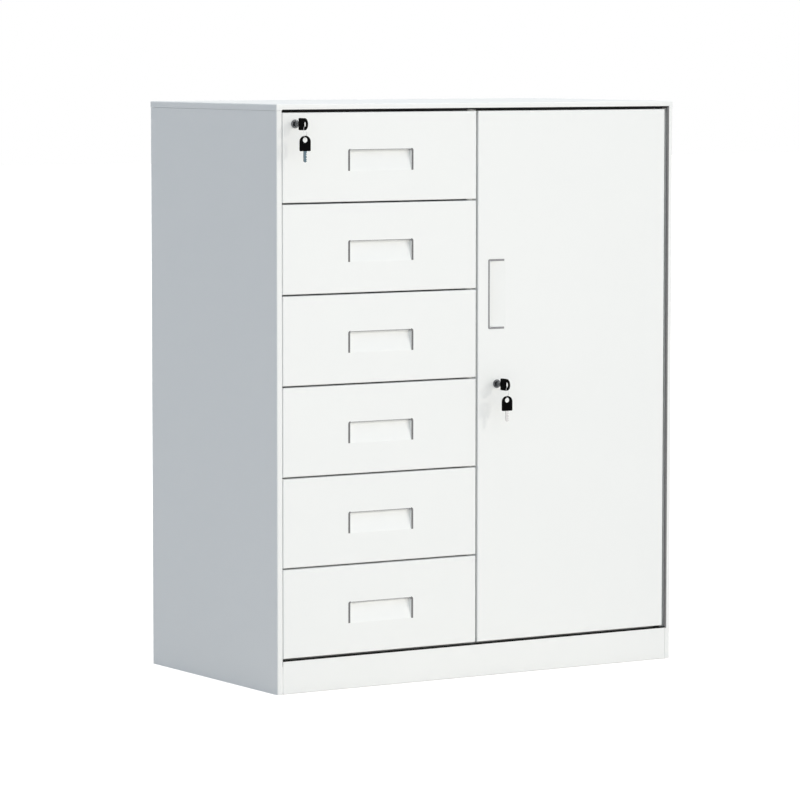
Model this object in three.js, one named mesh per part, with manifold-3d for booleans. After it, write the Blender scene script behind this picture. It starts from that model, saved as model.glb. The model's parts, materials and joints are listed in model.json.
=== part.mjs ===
// Sheet-steel storage cabinet with six locking drawers beside one hinged door.
// Millimetres, X to the right, Y to the back, Z up. Most parts are bent or drawn
// from sheet, so most solids are a bent profile pushed along its length, or a pan:
// a flat face with walls turned back from its four edges and lips turned in.
import * as THREE from "three";
import { mergeVertices } from "three/addons/utils/BufferGeometryUtils.js";
import Module from "manifold-3d";

const wasm = await Module();
wasm.setup();

// Cabinet
const cabinetWidth = 900;
const cabinetDepth = 480;
const cabinetHeight = 1100;
const sheet = 1; // steel thickness
const foldRadius = 2; // outside radius of a bend
const jointGap = 0.3; // between parts that are fastened or seated together
const rimHeight = 12; // edge of the top, all round
const stripWidth = 12; // front edge of each side panel
const plinthHeight = 64;
const flangeWidth = 15; // narrow flanges that parts are fastened by
const frontLip = 25; // lip of the top that the door pivots in
const frameSetback = 1.2; // between the closed door and the frame behind it
const linerSetback = 3.5; // from the front strip to the face of the inner side wall
const floorPanDepth = 15;

// Drawer fronts and door
const drawerCount = 6;
const frontDepth = 18;
const drawerFrontWidth = 428;
const drawerSideGap = 1;
const drawerGap = 3; // between two drawers
const topGap = 3.6;
const bottomGap = 3;
const dividerGap = 4.4; // between drawers and door
const hingeGap = 6.6; // between door and right strip
const partitionOverlap = 8; // of the drawer fronts over the partition
const partitionFlange = 20;
const frontSideLip = 30;
const frontEdgeLip = 20;

// Finger pulls, pressed into the fronts
const pullWidth = 142;
const pullHeight = 40;
const pullDepth = 12.5;
const pullUndercut = 8; // how far the pocket reaches behind the grip edge
const pullCorner = 3.5;
const pullDrop = 69.5; // from the top of a drawer front to the grip edge
const doorPullLength = 134;
const doorPullInset = 22.8; // from the door's free edge to the grip edge
const doorPullTopShare = 0.722; // height of the pull's top end, as a share of the door's height

// Drawer boxes and slides
const boxLift = 12; // from the bottom of the front to the bottom of the box
const boxHem = 8;
const boxRearRoom = 29;
const boxTopClearance = 1.3;
const slideWidth = 12.7;
const slideHeight = 36;
const slideSheet = 1.2;
const slideLipHeight = 4.5;
const slideLipReach = 9.4; // from the wall to the outside of the fixed rail
const slideNeck = 3.6; // from the wall to the moving rail's inner web
const raceGap = 0.5; // running clearance between the two rails
const railLift = 48; // from the bottom of the box to the middle of the rails
const railFrontRoom = 4; // between the lock bar and the rails
const weldOverlap = 0.2;

// Locks and keys
const lockInset = 26.5; // from the left edge of the front to the lock
const lockDrop = 21; // from the top of the front to the lock
const doorLockDrop = 105; // from the lower end of the door pull to the lock
const bezelRadius = 8.15;
const bezelThickness = 3;
const barrelRadius = 6.5;
const barrelLength = 21.4;
const plugRadius = 4.75;
const plugChamfer = 0.5;
const noseLength = 12.3; // of the plug, in front of the bezel
const turningGap = 0.35; // round turning pins and plugs
const tangSize = 6;
const camThickness = 2;
const camHubRadius = 7;
const camThrow = 8; // from the lock's axis to the cam pin
const camPinRadius = 2.5;
const camEdge = 3.5; // from the middle of the cam pin to the cam's edge
const camPinLength = 5;
const camTurn = Math.PI / 2;
const doorCamReach = 37;
const bowLength = 28.5;
const bowWidth = 22.5;
const bowThickness = 4;
const bowDome = 11;
const bowHoleRadius = 5;
const bowHoleInset = 8; // from the far end of the bow to the middle of the hole
const bladeLength = 21;
const bladeWidth = 6.7;
const bladeThickness = 2.2;
const bladeRoot = 3; // of the blade, inside the bow
const bladeTip = 2.4;
const bitCutShares = [0.2, 0.34, 0.12, 0.3, 0.22]; // depth of each cut, of the blade's width
const keyHang = 29; // from the middle of one bow hole to the next
const ringWire = 0.6; // radius
const ringTurn = Math.PI / 4;

// Lock bar of the drawers
const barSetback = 1.5; // behind the frame's front
const barWidth = 16;
const barThickness = 1.2;
const barFoot = 1; // of the bar, below its lowest tab
const barStandoff = 0.6; // from the inner side wall
const tabReach = 9.9; // from the back of the bar to the tip of a tab
const tabSetback = 2;
const tabThickness = 1.5;
const catchLift = 3; // from the bottom of the box to the catch
const catchHeight = 10;
const catchReach = 7.2; // from the box
const catchFoot = 16;
const catchPlay = 1.3;
const armHeight = 14;
const armReach = 8; // past the cam pin
const armClearance = 1; // between cam and arm
const slotPlay = 0.5;
const studRadius = 3;
const studHeadRadius = 5.5;
const studHeadThickness = 1;
const studLift = 20; // from the top of the box to a guide stud
const studEvery = 2; // a stud at every second drawer

// Door pivots
const pivotInset = 8; // from the door's right edge
const pivotSetback = 10; // from the door's face
const pivotRadius = 4;
const pivotCollarRadius = 7;
const pivotHeadRadius = 6;
const pivotHeadThickness = 2;
const pivotReach = 9; // of the pin, inside the door
const ribWidth = 80; // stiffening rib down the middle of the door's inner sheet
const ribDepth = 8;
const ribSlope = 6;
const doorLinerMargin = 3;

// Shelves and their clips
const shelfSlotRows = [4, 2]; // the shelves hang level with the bottoms of these drawers
const shelfHeight = 20;
const shelfLip = 10;
const shelfSideGap = 2.6;
const shelfFrontRoom = 11;
const shelfRearRoom = 8;
const clipWidth = 14;
const clipSheet = 1.5;
const clipHook = 7;
const clipDrop = 12;
const clipLedge = 14;
const clipInset = 30; // from the shelf's end edge to the middle of a clip
const slotHeight = 4;
const slotLift = 10; // from the bottom of a drawer front to the lower slot row

const bendSteps = 2; // flats in a bend
const edgeSteps = 3; // flats in a rounded front edge
const roundSteps = 24; // flats round a pin or a hole
const cutOver = 2; // overrun of a cut

// Places worked out from the sizes above
const halfSheet = sheet / 2;
const bodyTop = cabinetHeight - rimHeight; // underside of the top's lips
const frontsBottom = plinthHeight + bottomGap;
const frontsTop = bodyTop - topGap;
const frontsHeight = frontsTop - frontsBottom;
const drawerFrontHeight = (frontsHeight - (drawerCount - 1) * drawerGap) / drawerCount;
const drawerPitch = drawerFrontHeight + drawerGap;
const drawerFrontLeft = stripWidth + drawerSideGap;
const drawerFrontRight = drawerFrontLeft + drawerFrontWidth;
const doorLeft = drawerFrontRight + dividerGap;
const doorRight = cabinetWidth - stripWidth - hingeGap;
const frameFront = frontDepth + jointGap + sheet + frameSetback;
const backFace = cabinetDepth - sheet - jointGap - sheet; // front of the back panel
const frameBack = backFace - jointGap;
const floorTop = plinthHeight;
const linerFace = stripWidth + linerSetback; // drawer side of the left inner wall
const rightLinerFace = cabinetWidth - linerFace;
const partitionFace = drawerFrontRight - partitionOverlap; // drawer side of the partition
const boxLeft = linerFace + slideWidth;
const boxRight = partitionFace - slideWidth;
const boxFront = frontDepth + jointGap;
const boxBack = frameBack - boxRearRoom;
const camLift = camThrow * Math.SQRT1_2; // of the cam pin, above and below the lock's axis
const barTravel = 2 * camLift;
const boxTopRoom = lockDrop + camLift + armHeight / 2 + boxTopClearance;
const boxHeight = drawerFrontHeight - boxLift - boxTopRoom;
const barFront = frameFront + barSetback;
const railFront = barFront + barWidth + railFrontRoom;
const drawerLockX = drawerFrontLeft + lockInset;
const drawerLockZ = frontsTop - lockDrop;
const doorPullTop = frontsBottom + frontsHeight * doorPullTopShare;
const doorPullBottom = doorPullTop - doorPullLength;
const doorLockX = doorLeft + doorPullInset + pullHeight / 2;
const doorLockZ = doorPullBottom - doorLockDrop;
const camFront = barrelLength + 2 * jointGap;
const camPinX = drawerLockX - camLift;
const camPinZ = drawerLockZ - camLift; // unlocked
const pivotX = doorRight - pivotInset;
const shelfLeft = partitionFace + sheet + shelfSideGap;
const shelfRight = rightLinerFace - shelfSideGap;
const shelfFront = frameFront + sheet + shelfFrontRoom;
const shelfBack = frameBack - shelfRearRoom;
const noseTip = bezelThickness + jointGap + noseLength; // in front of the cabinet's face
const bowFoot = noseTip + jointGap;
const bowHoleY = -(bowFoot + bowLength - bowHoleInset);

const X = new THREE.Vector3(1, 0, 0);
const Y = new THREE.Vector3(0, 1, 0);
const Z = new THREE.Vector3(0, 0, 1);

function drawerBottom(number) {
  return frontsBottom + (drawerCount - number) * drawerPitch;
}

function drawerTop(number) {
  return drawerBottom(number) + drawerFrontHeight;
}

function boxBottom(number) {
  return drawerBottom(number) + boxLift;
}

function point(x, y) {
  return new THREE.Vector2(x, y);
}

function place(x, y, z) {
  return new THREE.Vector3(x, y, z);
}

// Solids

function solidFrom(geometry) {
  geometry.deleteAttribute("normal");
  geometry.deleteAttribute("uv");
  const merged = mergeVertices(geometry);
  return new wasm.Manifold(
    new wasm.Mesh({
      numProp: 3,
      vertProperties: merged.attributes.position.array,
      triVerts: new Uint32Array(merged.index.array),
    }),
  );
}

// A geometry turned so that its own axes lie along the three given, with its origin moved.
function placed(geometry, origin, xAxis, yAxis, zAxis) {
  const matrix = new THREE.Matrix4().makeBasis(xAxis, yAxis, zAxis).setPosition(origin);
  return solidFrom(geometry.applyMatrix4(matrix));
}

function extrusion(shape, length, curveSegments = roundSteps / 2) {
  return new THREE.ExtrudeGeometry(shape, { depth: length, bevelEnabled: false, curveSegments });
}

// Shape in X and Y, pushed up from one height to another.
function upward(shape, from, to) {
  return placed(extrusion(shape, to - from), place(0, 0, from), X, Y, Z);
}

// Shape in Y and Z, pushed to the right.
function rightward(shape, from, to) {
  return placed(extrusion(shape, to - from), place(from, 0, 0), Y, Z, X);
}

// Shape in X and Z, pushed from the back towards the front.
function forward(shape, front, back) {
  return placed(extrusion(shape, back - front), place(0, back, 0), X, Z, Y.clone().negate());
}

function block(low, high) {
  const size = high.clone().sub(low);
  const middle = low.clone().add(high).multiplyScalar(1 / 2);
  return placed(new THREE.BoxGeometry(size.x, size.y, size.z), middle, X, Y, Z);
}

function rectangle(width, height, corner) {
  const shape = new THREE.Shape();
  shape.moveTo(corner, corner);
  shape.lineTo(width - corner, corner);
  shape.lineTo(width - corner, height - corner);
  shape.lineTo(corner, height - corner);
  return shape;
}

function disc(radius, x, y) {
  return new THREE.Shape().absarc(x, y, radius, 0, 2 * Math.PI);
}

// Round bar along Y, to cut a hole or to join as a boss.
function roundAlongY(radius, x, z, front, back) {
  return forward(disc(radius, x, z), front, back);
}

function roundUpward(radius, x, y, from, to) {
  return upward(disc(radius, x, y), from, to);
}

// Outline of a strip of sheet bent along the path of its middle layer, with round bends.
function bentStrip(path, thickness, outerRadius) {
  const half = thickness / 2;
  const middleRadius = outerRadius - half;
  const left = [];
  const right = [];
  path.forEach((corner, index) => {
    const before = path[index - 1];
    const after = path[index + 1];
    const arriving = before ? corner.clone().sub(before).normalize() : null;
    const leaving = after ? after.clone().sub(corner).normalize() : null;
    if (!arriving || !leaving) {
      const along = arriving ?? leaving;
      const across = point(-along.y, along.x);
      left.push(corner.clone().addScaledVector(across, half));
      right.push(corner.clone().addScaledVector(across, -half));
      return;
    }
    const turn = Math.atan2(arriving.cross(leaving), arriving.dot(leaving));
    const side = Math.sign(turn);
    const reach = middleRadius * Math.tan(Math.abs(turn) / 2);
    const across = point(-arriving.y, arriving.x);
    const centre = corner
      .clone()
      .addScaledVector(arriving, -reach)
      .addScaledVector(across, side * middleRadius);
    for (let step = 0; step <= bendSteps; step++) {
      const normal = across.clone().rotateAround(point(0, 0), (turn * step) / bendSteps);
      left.push(centre.clone().addScaledVector(normal, half - side * middleRadius));
      right.push(centre.clone().addScaledVector(normal, -half - side * middleRadius));
    }
  });
  return new THREE.Shape([...left, ...right.reverse()]);
}

// Block with its face at depth 0 rounded off all round, in its own three axes.
function roundedBlock(width, height, depth, radius) {
  if (radius <= 0) {
    return extrusion(rectangle(width, height, 0), depth);
  }
  return new THREE.ExtrudeGeometry(rectangle(width, height, radius), {
    depth,
    bevelEnabled: true,
    bevelThickness: radius,
    bevelSize: radius,
    bevelSegments: edgeSteps,
  }).translate(0, 0, radius);
}

// Pan with its closed face at depth 0. Lips are listed for the low and high end of
// its first axis, then of its second; the axes say where the pan faces.
function pan(width, height, depth, lips, origin, axes) {
  const [lowFirst, highFirst, lowSecond, highSecond] = lips;
  const own = (geometry) => placed(geometry, origin, ...axes);
  const reach = depth + 2 * foldRadius;
  const outside = own(roundedBlock(width, height, reach, foldRadius)).intersect(
    own(extrusion(rectangle(width, height, 0), depth)),
  );
  const innerWidth = width - 2 * sheet;
  const innerHeight = height - 2 * sheet;
  const hollow = own(
    roundedBlock(innerWidth, innerHeight, reach, foldRadius - sheet).translate(sheet, sheet, sheet),
  ).intersect(
    own(extrusion(rectangle(innerWidth, innerHeight, 0), depth - 2 * sheet).translate(sheet, sheet, sheet)),
  );
  const mouth = own(
    extrusion(
      rectangle(width - lowFirst - highFirst, height - lowSecond - highSecond, 0),
      2 * sheet + cutOver,
    ).translate(lowFirst, lowSecond, depth - 2 * sheet),
  );
  return outside.subtract(hollow).subtract(mouth);
}

const facingFront = [Z, X, Y];
const facingUp = [Y, X, Z.clone().negate()];
const facingDown = [X, Y, Z];

// A finger pull: the sheet is cut along three sides and a closed pocket lies behind it,
// flush with the face at its shallow end and deepest behind the grip edge.
// across runs along the grip edge, towards points to the grip edge, and inward to the back.
function withPull(face, corner, length, across, towards, inward) {
  const pocketEnd = pullHeight + pullUndercut;
  const rise = pullDepth / pocketEnd;
  const rampShift = sheet * Math.hypot(1, 1 / rise); // along the face, for a ramp one sheet thick
  const shellEnd = pocketEnd + sheet;
  const shell = new THREE.Shape([
    point(halfSheet / rise - rampShift, halfSheet),
    point(shellEnd, (shellEnd + rampShift) * rise),
    point(shellEnd, halfSheet),
  ]);
  const hollow = new THREE.Shape([
    point(0, -cutOver),
    point(0, 0),
    point(pocketEnd, pullDepth),
    point(pocketEnd, -cutOver),
  ]);
  const mouth = new THREE.Shape();
  mouth.moveTo(0, 0);
  mouth.lineTo(length, 0);
  mouth.absarc(length - pullCorner, pullHeight - pullCorner, pullCorner, 0, Math.PI / 2);
  mouth.absarc(pullCorner, pullHeight - pullCorner, pullCorner, Math.PI / 2, Math.PI);
  const sideways = (shape, start, end) =>
    placed(
      extrusion(shape, end - start),
      corner.clone().addScaledVector(across, start),
      towards,
      inward,
      across,
    );
  const through = (shape) =>
    placed(
      extrusion(shape, sheet + cutOver, edgeSteps),
      corner.clone().addScaledVector(inward, -cutOver),
      across,
      towards,
      inward,
    );
  const faceLeft = through(rectangle(length, pocketEnd, 0)).subtract(through(mouth));
  const pocket = sideways(hollow, 0, length).subtract(faceLeft);
  return face.add(sideways(shell, -sheet, length + sheet)).subtract(pocket);
}

// Carcass

// x measured from the outside of the left panel, or from the right one.
function fromSide(side, x) {
  return side === "left" ? x : cabinetWidth - x;
}

// Box between two distances from the left or right side of the cabinet.
function sideBlock(side, near, far, front, back, bottom, top) {
  const ends = [fromSide(side, near), fromSide(side, far)].sort((a, b) => a - b);
  return block(place(ends[0], front, bottom), place(ends[1], back, top));
}

function sidePanel(side) {
  const x = (value) => fromSide(side, value);
  const profile = bentStrip(
    [
      point(x(stripWidth - halfSheet), frontDepth),
      point(x(stripWidth - halfSheet), halfSheet),
      point(x(halfSheet), halfSheet),
      point(x(halfSheet), cabinetDepth - halfSheet),
      point(x(flangeWidth), cabinetDepth - halfSheet),
    ],
    sheet,
    foldRadius,
  );
  const top = bodyTop - jointGap;
  const flangeFront = frameFront + barSetback;
  const flangeBack = backFace - flangeWidth - jointGap;
  const topFlange = sideBlock(side, halfSheet, flangeWidth, flangeFront, flangeBack, top - sheet, top);
  const foot = sideBlock(side, halfSheet, flangeWidth, flangeFront, flangeBack, 0, sheet);
  return upward(profile, 0, top).add(topFlange).add(foot);
}

function topPanel() {
  const lips = [frontLip, flangeWidth, flangeWidth, flangeWidth];
  const body = pan(cabinetDepth, cabinetWidth, rimHeight, lips, place(0, 0, cabinetHeight), facingUp);
  return body.subtract(pivotHole(bodyTop));
}

// Hole through the sheet that starts at a height, for a door pivot pin.
function pivotHole(height) {
  return roundUpward(pivotRadius + turningGap, pivotX, pivotSetback, height - cutOver, height + sheet + cutOver);
}

function plinthRail() {
  const flangeEnd = frameFront - jointGap;
  const profile = bentStrip(
    [
      point(flangeEnd, halfSheet),
      point(halfSheet, halfSheet),
      point(halfSheet, plinthHeight - halfSheet),
      point(flangeEnd, plinthHeight - halfSheet),
    ],
    sheet,
    foldRadius,
  );
  const end = stripWidth + jointGap;
  return rightward(profile, end, cabinetWidth - end).subtract(pivotHole(plinthHeight - sheet));
}

function floorPanel() {
  const side = sheet + jointGap;
  const lips = [flangeWidth, flangeWidth, flangeWidth, flangeWidth];
  return pan(
    frameBack - frameFront,
    cabinetWidth - 2 * side,
    floorPanDepth,
    lips,
    place(side, frameFront, floorTop),
    facingUp,
  );
}

function backPanel() {
  const profile = bentStrip(
    [
      point(backFace - flangeWidth, halfSheet),
      point(backFace + halfSheet, halfSheet),
      point(backFace + halfSheet, bodyTop - jointGap),
    ],
    sheet,
    foldRadius,
  );
  const side = foldRadius + jointGap;
  return rightward(profile, side, cabinetWidth - side);
}

// Fixed half of a slide, on a wall face; outward is +1 where the drawer lies to the right of the wall.
function fixedRail(wallX, outward, number) {
  const half = slideSheet / 2;
  const middle = boxBottom(number) + railLift;
  const at = (out, up) => point(wallX + outward * out, middle + up);
  const web = half - weldOverlap;
  const lipAt = slideLipReach - half;
  const edge = slideHeight / 2 - half;
  const lipEnd = slideHeight / 2 - slideLipHeight;
  const profile = bentStrip(
    [at(lipAt, lipEnd), at(lipAt, edge), at(web, edge), at(web, -edge), at(lipAt, -edge), at(lipAt, -lipEnd)],
    slideSheet,
    foldRadius,
  );
  return forward(profile, railFront, boxBack);
}

// Moving half of a slide, on the side of a drawer box: its hooked edges run inside the fixed half.
function movingRail(wallX, outward, number) {
  const half = slideSheet / 2;
  const middle = boxBottom(number) + railLift;
  const at = (out, up) => point(wallX + outward * out, middle + up);
  const web = slideWidth - jointGap - half;
  const hookEdge = slideHeight / 2 - slideSheet - raceGap - half;
  const neckEdge = slideHeight / 2 - slideLipHeight - raceGap - half;
  const hookEnd = slideLipReach - slideSheet - raceGap;
  const profile = bentStrip(
    [
      at(hookEnd, hookEdge),
      at(slideNeck, hookEdge),
      at(slideNeck, neckEdge),
      at(web, neckEdge),
      at(web, -neckEdge),
      at(slideNeck, -neckEdge),
      at(slideNeck, -hookEdge),
      at(hookEnd, -hookEdge),
    ],
    slideSheet,
    slideSheet,
  );
  return forward(profile, railFront, boxBack);
}

function drawerNumbers() {
  return Array.from({ length: drawerCount }, (unused, index) => index + 1);
}

// Height of a shelf slot: two rows at every drawer, clear of the slides on the other face.
function slotHeights() {
  return drawerNumbers().flatMap((number) => {
    const low = drawerBottom(number) + slotLift;
    return [low, low + drawerPitch / 2];
  });
}

function clipPlaces() {
  return [shelfFront + clipInset, shelfBack - clipInset];
}

// Cuts the slots that the shelf clips hook into.
function withShelfSlots(wall, wallLeft) {
  const halfLength = clipWidth / 2 + jointGap;
  let cut = wall;
  for (const height of slotHeights()) {
    for (const middle of clipPlaces()) {
      cut = cut.subtract(
        block(
          place(wallLeft - cutOver, middle - halfLength, height - slotHeight / 2),
          place(wallLeft + sheet + cutOver, middle + halfLength, height + slotHeight / 2),
        ),
      );
    }
  }
  return cut;
}

// Inner side wall, bent to a channel that closes against the side panel.
function innerWall(side) {
  const x = (value) => fromSide(side, value);
  const flangeEnd = sheet + jointGap;
  const profile = bentStrip(
    [
      point(x(flangeEnd), frameFront + halfSheet),
      point(x(linerFace - halfSheet), frameFront + halfSheet),
      point(x(linerFace - halfSheet), frameBack - halfSheet),
      point(x(flangeEnd), frameBack - halfSheet),
    ],
    sheet,
    foldRadius,
  );
  return upward(profile, floorTop + jointGap, bodyTop - jointGap - sheet - jointGap);
}

// Headed stud that the lock bar slides on, turned about its axis and lying along X.
function guideStud(height) {
  const shoulder = linerFace + barStandoff - jointGap;
  const headFace = linerFace + barStandoff + barThickness + jointGap;
  const outline = [
    point(0, linerFace - halfSheet),
    point(studHeadRadius, linerFace - halfSheet),
    point(studHeadRadius, shoulder),
    point(studRadius, shoulder),
    point(studRadius, headFace),
    point(studHeadRadius, headFace),
    point(studHeadRadius, headFace + studHeadThickness),
    point(0, headFace + studHeadThickness),
  ];
  return placed(
    new THREE.LatheGeometry(outline, roundSteps / 2),
    place(0, barFront + barWidth / 2, height),
    Y,
    X,
    Z.clone().negate(),
  );
}

function studHeights() {
  return drawerNumbers()
    .filter((number) => number % studEvery === 0)
    .map((number) => boxBottom(number) + boxHeight + studLift);
}

function leftLiner() {
  let wall = innerWall("left");
  for (const number of drawerNumbers()) {
    wall = wall.add(fixedRail(linerFace, 1, number));
  }
  for (const height of studHeights()) {
    wall = wall.add(guideStud(height));
  }
  return wall;
}

function rightLiner() {
  return withShelfSlots(innerWall("right"), rightLinerFace);
}

function partition() {
  const profile = bentStrip(
    [
      point(partitionFace + partitionFlange, frameFront + halfSheet),
      point(partitionFace + halfSheet, frameFront + halfSheet),
      point(partitionFace + halfSheet, frameBack - halfSheet),
      point(partitionFace + flangeWidth, frameBack - halfSheet),
    ],
    sheet,
    foldRadius,
  );
  let wall = withShelfSlots(upward(profile, floorTop + jointGap, bodyTop - jointGap), partitionFace);
  for (const number of drawerNumbers()) {
    wall = wall.add(fixedRail(partitionFace, -1, number));
  }
  return wall;
}

// Drawers

function drawerFront(number) {
  const bottom = drawerBottom(number);
  const lips = [frontEdgeLip, frontEdgeLip, frontSideLip, frontSideLip];
  const face = pan(
    drawerFrontHeight,
    drawerFrontWidth,
    frontDepth,
    lips,
    place(drawerFrontLeft, 0, bottom),
    facingFront,
  );
  const pullRight = drawerFrontLeft + (drawerFrontWidth + pullWidth) / 2;
  const pullBottom = drawerTop(number) - pullDrop - pullHeight;
  const corner = place(pullRight, 0, pullBottom);
  const front = withPull(face, corner, pullWidth, X.clone().negate(), Z, Y);
  return number === 1 ? front.subtract(lockHole(drawerLockX, drawerLockZ)) : front;
}

function lockHole(x, z) {
  return roundAlongY(barrelRadius + jointGap, x, z, -cutOver, camFront);
}

// Box with hemmed sides and, on its left side, the catch that the lock bar holds.
function drawerBox(number) {
  const bottom = boxBottom(number);
  const box = pan(
    boxRight - boxLeft,
    boxBack - boxFront,
    boxHeight,
    [boxHem, boxHem, sheet, sheet],
    place(boxLeft, boxFront, bottom),
    facingDown,
  );
  const tabBack = barFront + tabSetback + tabThickness;
  const toe = tabBack + catchPlay + tabThickness / 2;
  const foot = boxLeft - tabThickness / 2 + weldOverlap;
  const profile = bentStrip(
    [point(boxLeft - catchReach, toe), point(foot, toe), point(foot, toe + catchFoot)],
    tabThickness,
    foldRadius,
  );
  const catchBottom = bottom + catchLift;
  return box.add(upward(profile, catchBottom, catchBottom + catchHeight));
}

// Top of the bar's tab while the lock is open, just below the catch that it holds when lifted.
function tabTop(number) {
  return boxBottom(number) + catchLift - catchPlay;
}

// Bar with a tab for every drawer and an arm that the lock's cam pin lifts.
function lockBar() {
  const back = linerFace + barStandoff;
  const top = camPinZ + armHeight / 2;
  const strip = new THREE.Shape([
    point(back, barFront),
    point(back + barThickness, barFront),
    point(back + barThickness, barFront + barWidth),
    point(back, barFront + barWidth),
  ]);
  let bar = upward(strip, tabTop(drawerCount) - barTravel - barFoot, top);
  const tabFront = barFront + tabSetback;
  for (const number of drawerNumbers()) {
    const low = place(back, tabFront, tabTop(number) - barTravel);
    bar = bar.add(block(low, place(back + tabReach, tabFront + tabThickness, tabTop(number))));
  }
  const middle = barFront + barWidth / 2;
  const slotHalf = studRadius + jointGap;
  for (const height of studHeights()) {
    const low = place(back - cutOver, middle - slotHalf, height - slotHalf - barTravel);
    const high = place(back + barThickness + cutOver, middle + slotHalf, height + slotHalf);
    bar = bar.subtract(block(low, high));
  }
  return bar.add(lockArm(back, top));
}

// Arm of the lock bar, with the cross slot that the cam pin sweeps along as it turns.
function lockArm(back, top) {
  const slotFar = camPinX + camPinRadius + slotPlay;
  const slotNear = drawerLockX - camThrow - camPinRadius - slotPlay;
  const slotHalf = camPinRadius + slotPlay;
  const outline = new THREE.Shape([
    point(back, top - armHeight),
    point(camPinX + armReach, top - armHeight),
    point(camPinX + armReach, top),
    point(back, top),
  ]);
  outline.holes.push(
    new THREE.Path([
      point(slotNear, camPinZ - slotHalf),
      point(slotFar, camPinZ - slotHalf),
      point(slotFar, camPinZ + slotHalf),
      point(slotNear, camPinZ + slotHalf),
    ]),
  );
  const front = camFront + camThickness + armClearance;
  return forward(outline, front, front + tabThickness);
}

// Door

function doorSkin() {
  const lips = [flangeWidth, flangeWidth, flangeWidth, flangeWidth];
  const face = pan(
    frontsHeight,
    doorRight - doorLeft,
    frontDepth,
    lips,
    place(doorLeft, 0, frontsBottom),
    facingFront,
  );
  const corner = place(doorLeft + doorPullInset + pullHeight, 0, doorPullTop);
  const down = Z.clone().negate();
  return withPull(face, corner, doorPullLength, down, X.clone().negate(), Y)
    .subtract(lockHole(doorLockX, doorLockZ))
    .subtract(pivotHole(frontsBottom))
    .subtract(pivotHole(frontsTop - sheet));
}

// Inner sheet of the door, with a stiffening rib pressed into the hollow.
function doorLiner() {
  const level = boxFront + halfSheet;
  const middle = (doorLeft + doorRight) / 2;
  const half = ribWidth / 2;
  const profile = bentStrip(
    [
      point(doorLeft + doorLinerMargin, level),
      point(middle - half, level),
      point(middle - half + ribSlope, level - ribDepth),
      point(middle + half - ribSlope, level - ribDepth),
      point(middle + half, level),
      point(doorRight - doorLinerMargin, level),
    ],
    sheet,
    foldRadius,
  );
  const sheetBody = upward(profile, frontsBottom + doorLinerMargin, frontsTop - doorLinerMargin);
  const ribEnds = ribEndCuts(middle, half);
  return ribEnds.reduce((body, cut) => body.subtract(cut), sheetBody).subtract(lockHole(doorLockX, doorLockZ));
}

// The rib stops short of the door's top and bottom lips.
function ribEndCuts(middle, half) {
  const length = flangeWidth - doorLinerMargin + jointGap;
  const ends = [frontsBottom + doorLinerMargin, frontsTop - doorLinerMargin - length];
  return ends.map((low) =>
    block(
      place(middle - half - foldRadius, boxFront - ribDepth - cutOver, low - cutOver / 2),
      place(middle + half + foldRadius, boxFront + sheet + cutOver, low + length + cutOver / 2),
    ),
  );
}

// Pivot pin: riveted into the frame, a collar between frame and door, and the journal in the door.
// up is +1 for the lower pin, whose journal points up, and -1 for the upper one.
function pivotPin(frameLevel, doorLevel, up) {
  const head = frameLevel - up * (sheet + jointGap);
  const collarFoot = frameLevel + up * jointGap;
  const collarEnd = doorLevel - up * jointGap;
  const outline = [
    point(0, head - up * pivotHeadThickness),
    point(pivotHeadRadius, head - up * pivotHeadThickness),
    point(pivotHeadRadius, head),
    point(pivotRadius, head),
    point(pivotRadius, collarFoot),
    point(pivotCollarRadius, collarFoot),
    point(pivotCollarRadius, collarEnd),
    point(pivotRadius, collarEnd),
    point(pivotRadius, doorLevel + up * (pivotReach - sheet)),
    point(pivotRadius - sheet, doorLevel + up * pivotReach),
    point(0, doorLevel + up * pivotReach),
  ];
  if (up < 0) {
    outline.reverse();
  }
  const turned = new THREE.LatheGeometry(outline, roundSteps);
  return placed(turned, place(pivotX, pivotSetback, 0), X, Z, Y.clone().negate());
}

// Shelves

function shelf(row) {
  const lips = [shelfLip, shelfLip, shelfLip, shelfLip];
  return pan(
    shelfBack - shelfFront,
    shelfRight - shelfLeft,
    shelfHeight,
    lips,
    place(shelfLeft, shelfFront, shelfTop(row)),
    facingUp,
  );
}

function shelfTop(row) {
  return drawerBottom(row) + slotLift - clipDrop + clipSheet / 2 + jointGap + shelfHeight;
}

// Bent clip: a hook through the wall's slot, a leg down the wall and a ledge under the shelf.
function shelfClip(wallX, outward, row, middle) {
  const level = drawerBottom(row) + slotLift;
  const half = clipSheet / 2;
  const at = (out, up) => point(wallX + outward * out, level + up);
  const hookAt = -(sheet + jointGap + half);
  const legAt = jointGap + half;
  const profile = bentStrip(
    [at(hookAt, clipHook), at(hookAt, 0), at(legAt, 0), at(legAt, -clipDrop), at(clipLedge, -clipDrop)],
    clipSheet,
    clipSheet,
  );
  return forward(profile, middle - clipWidth / 2, middle + clipWidth / 2);
}

// Locks and keys

// Turned part with its axis along Y through the lock, from an outline of radius and depth.
function turnedAlongY(outline, x, z, steps) {
  return placed(new THREE.LatheGeometry(outline, steps), place(x, 0, z), X, Y, Z);
}

function lockHousing(x, z) {
  const bore = plugRadius + turningGap;
  const bezelBack = -jointGap;
  const bezelFront = bezelBack - bezelThickness;
  const chamfer = bezelThickness / 3;
  const outline = [
    point(bore, bezelFront),
    point(bezelRadius - chamfer, bezelFront),
    point(bezelRadius, bezelFront + chamfer),
    point(bezelRadius, bezelBack),
    point(barrelRadius, bezelBack),
    point(barrelRadius, barrelLength),
    point(bore, barrelLength),
    point(bore, bezelFront),
  ];
  return turnedAlongY(outline, x, z, roundSteps);
}

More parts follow.
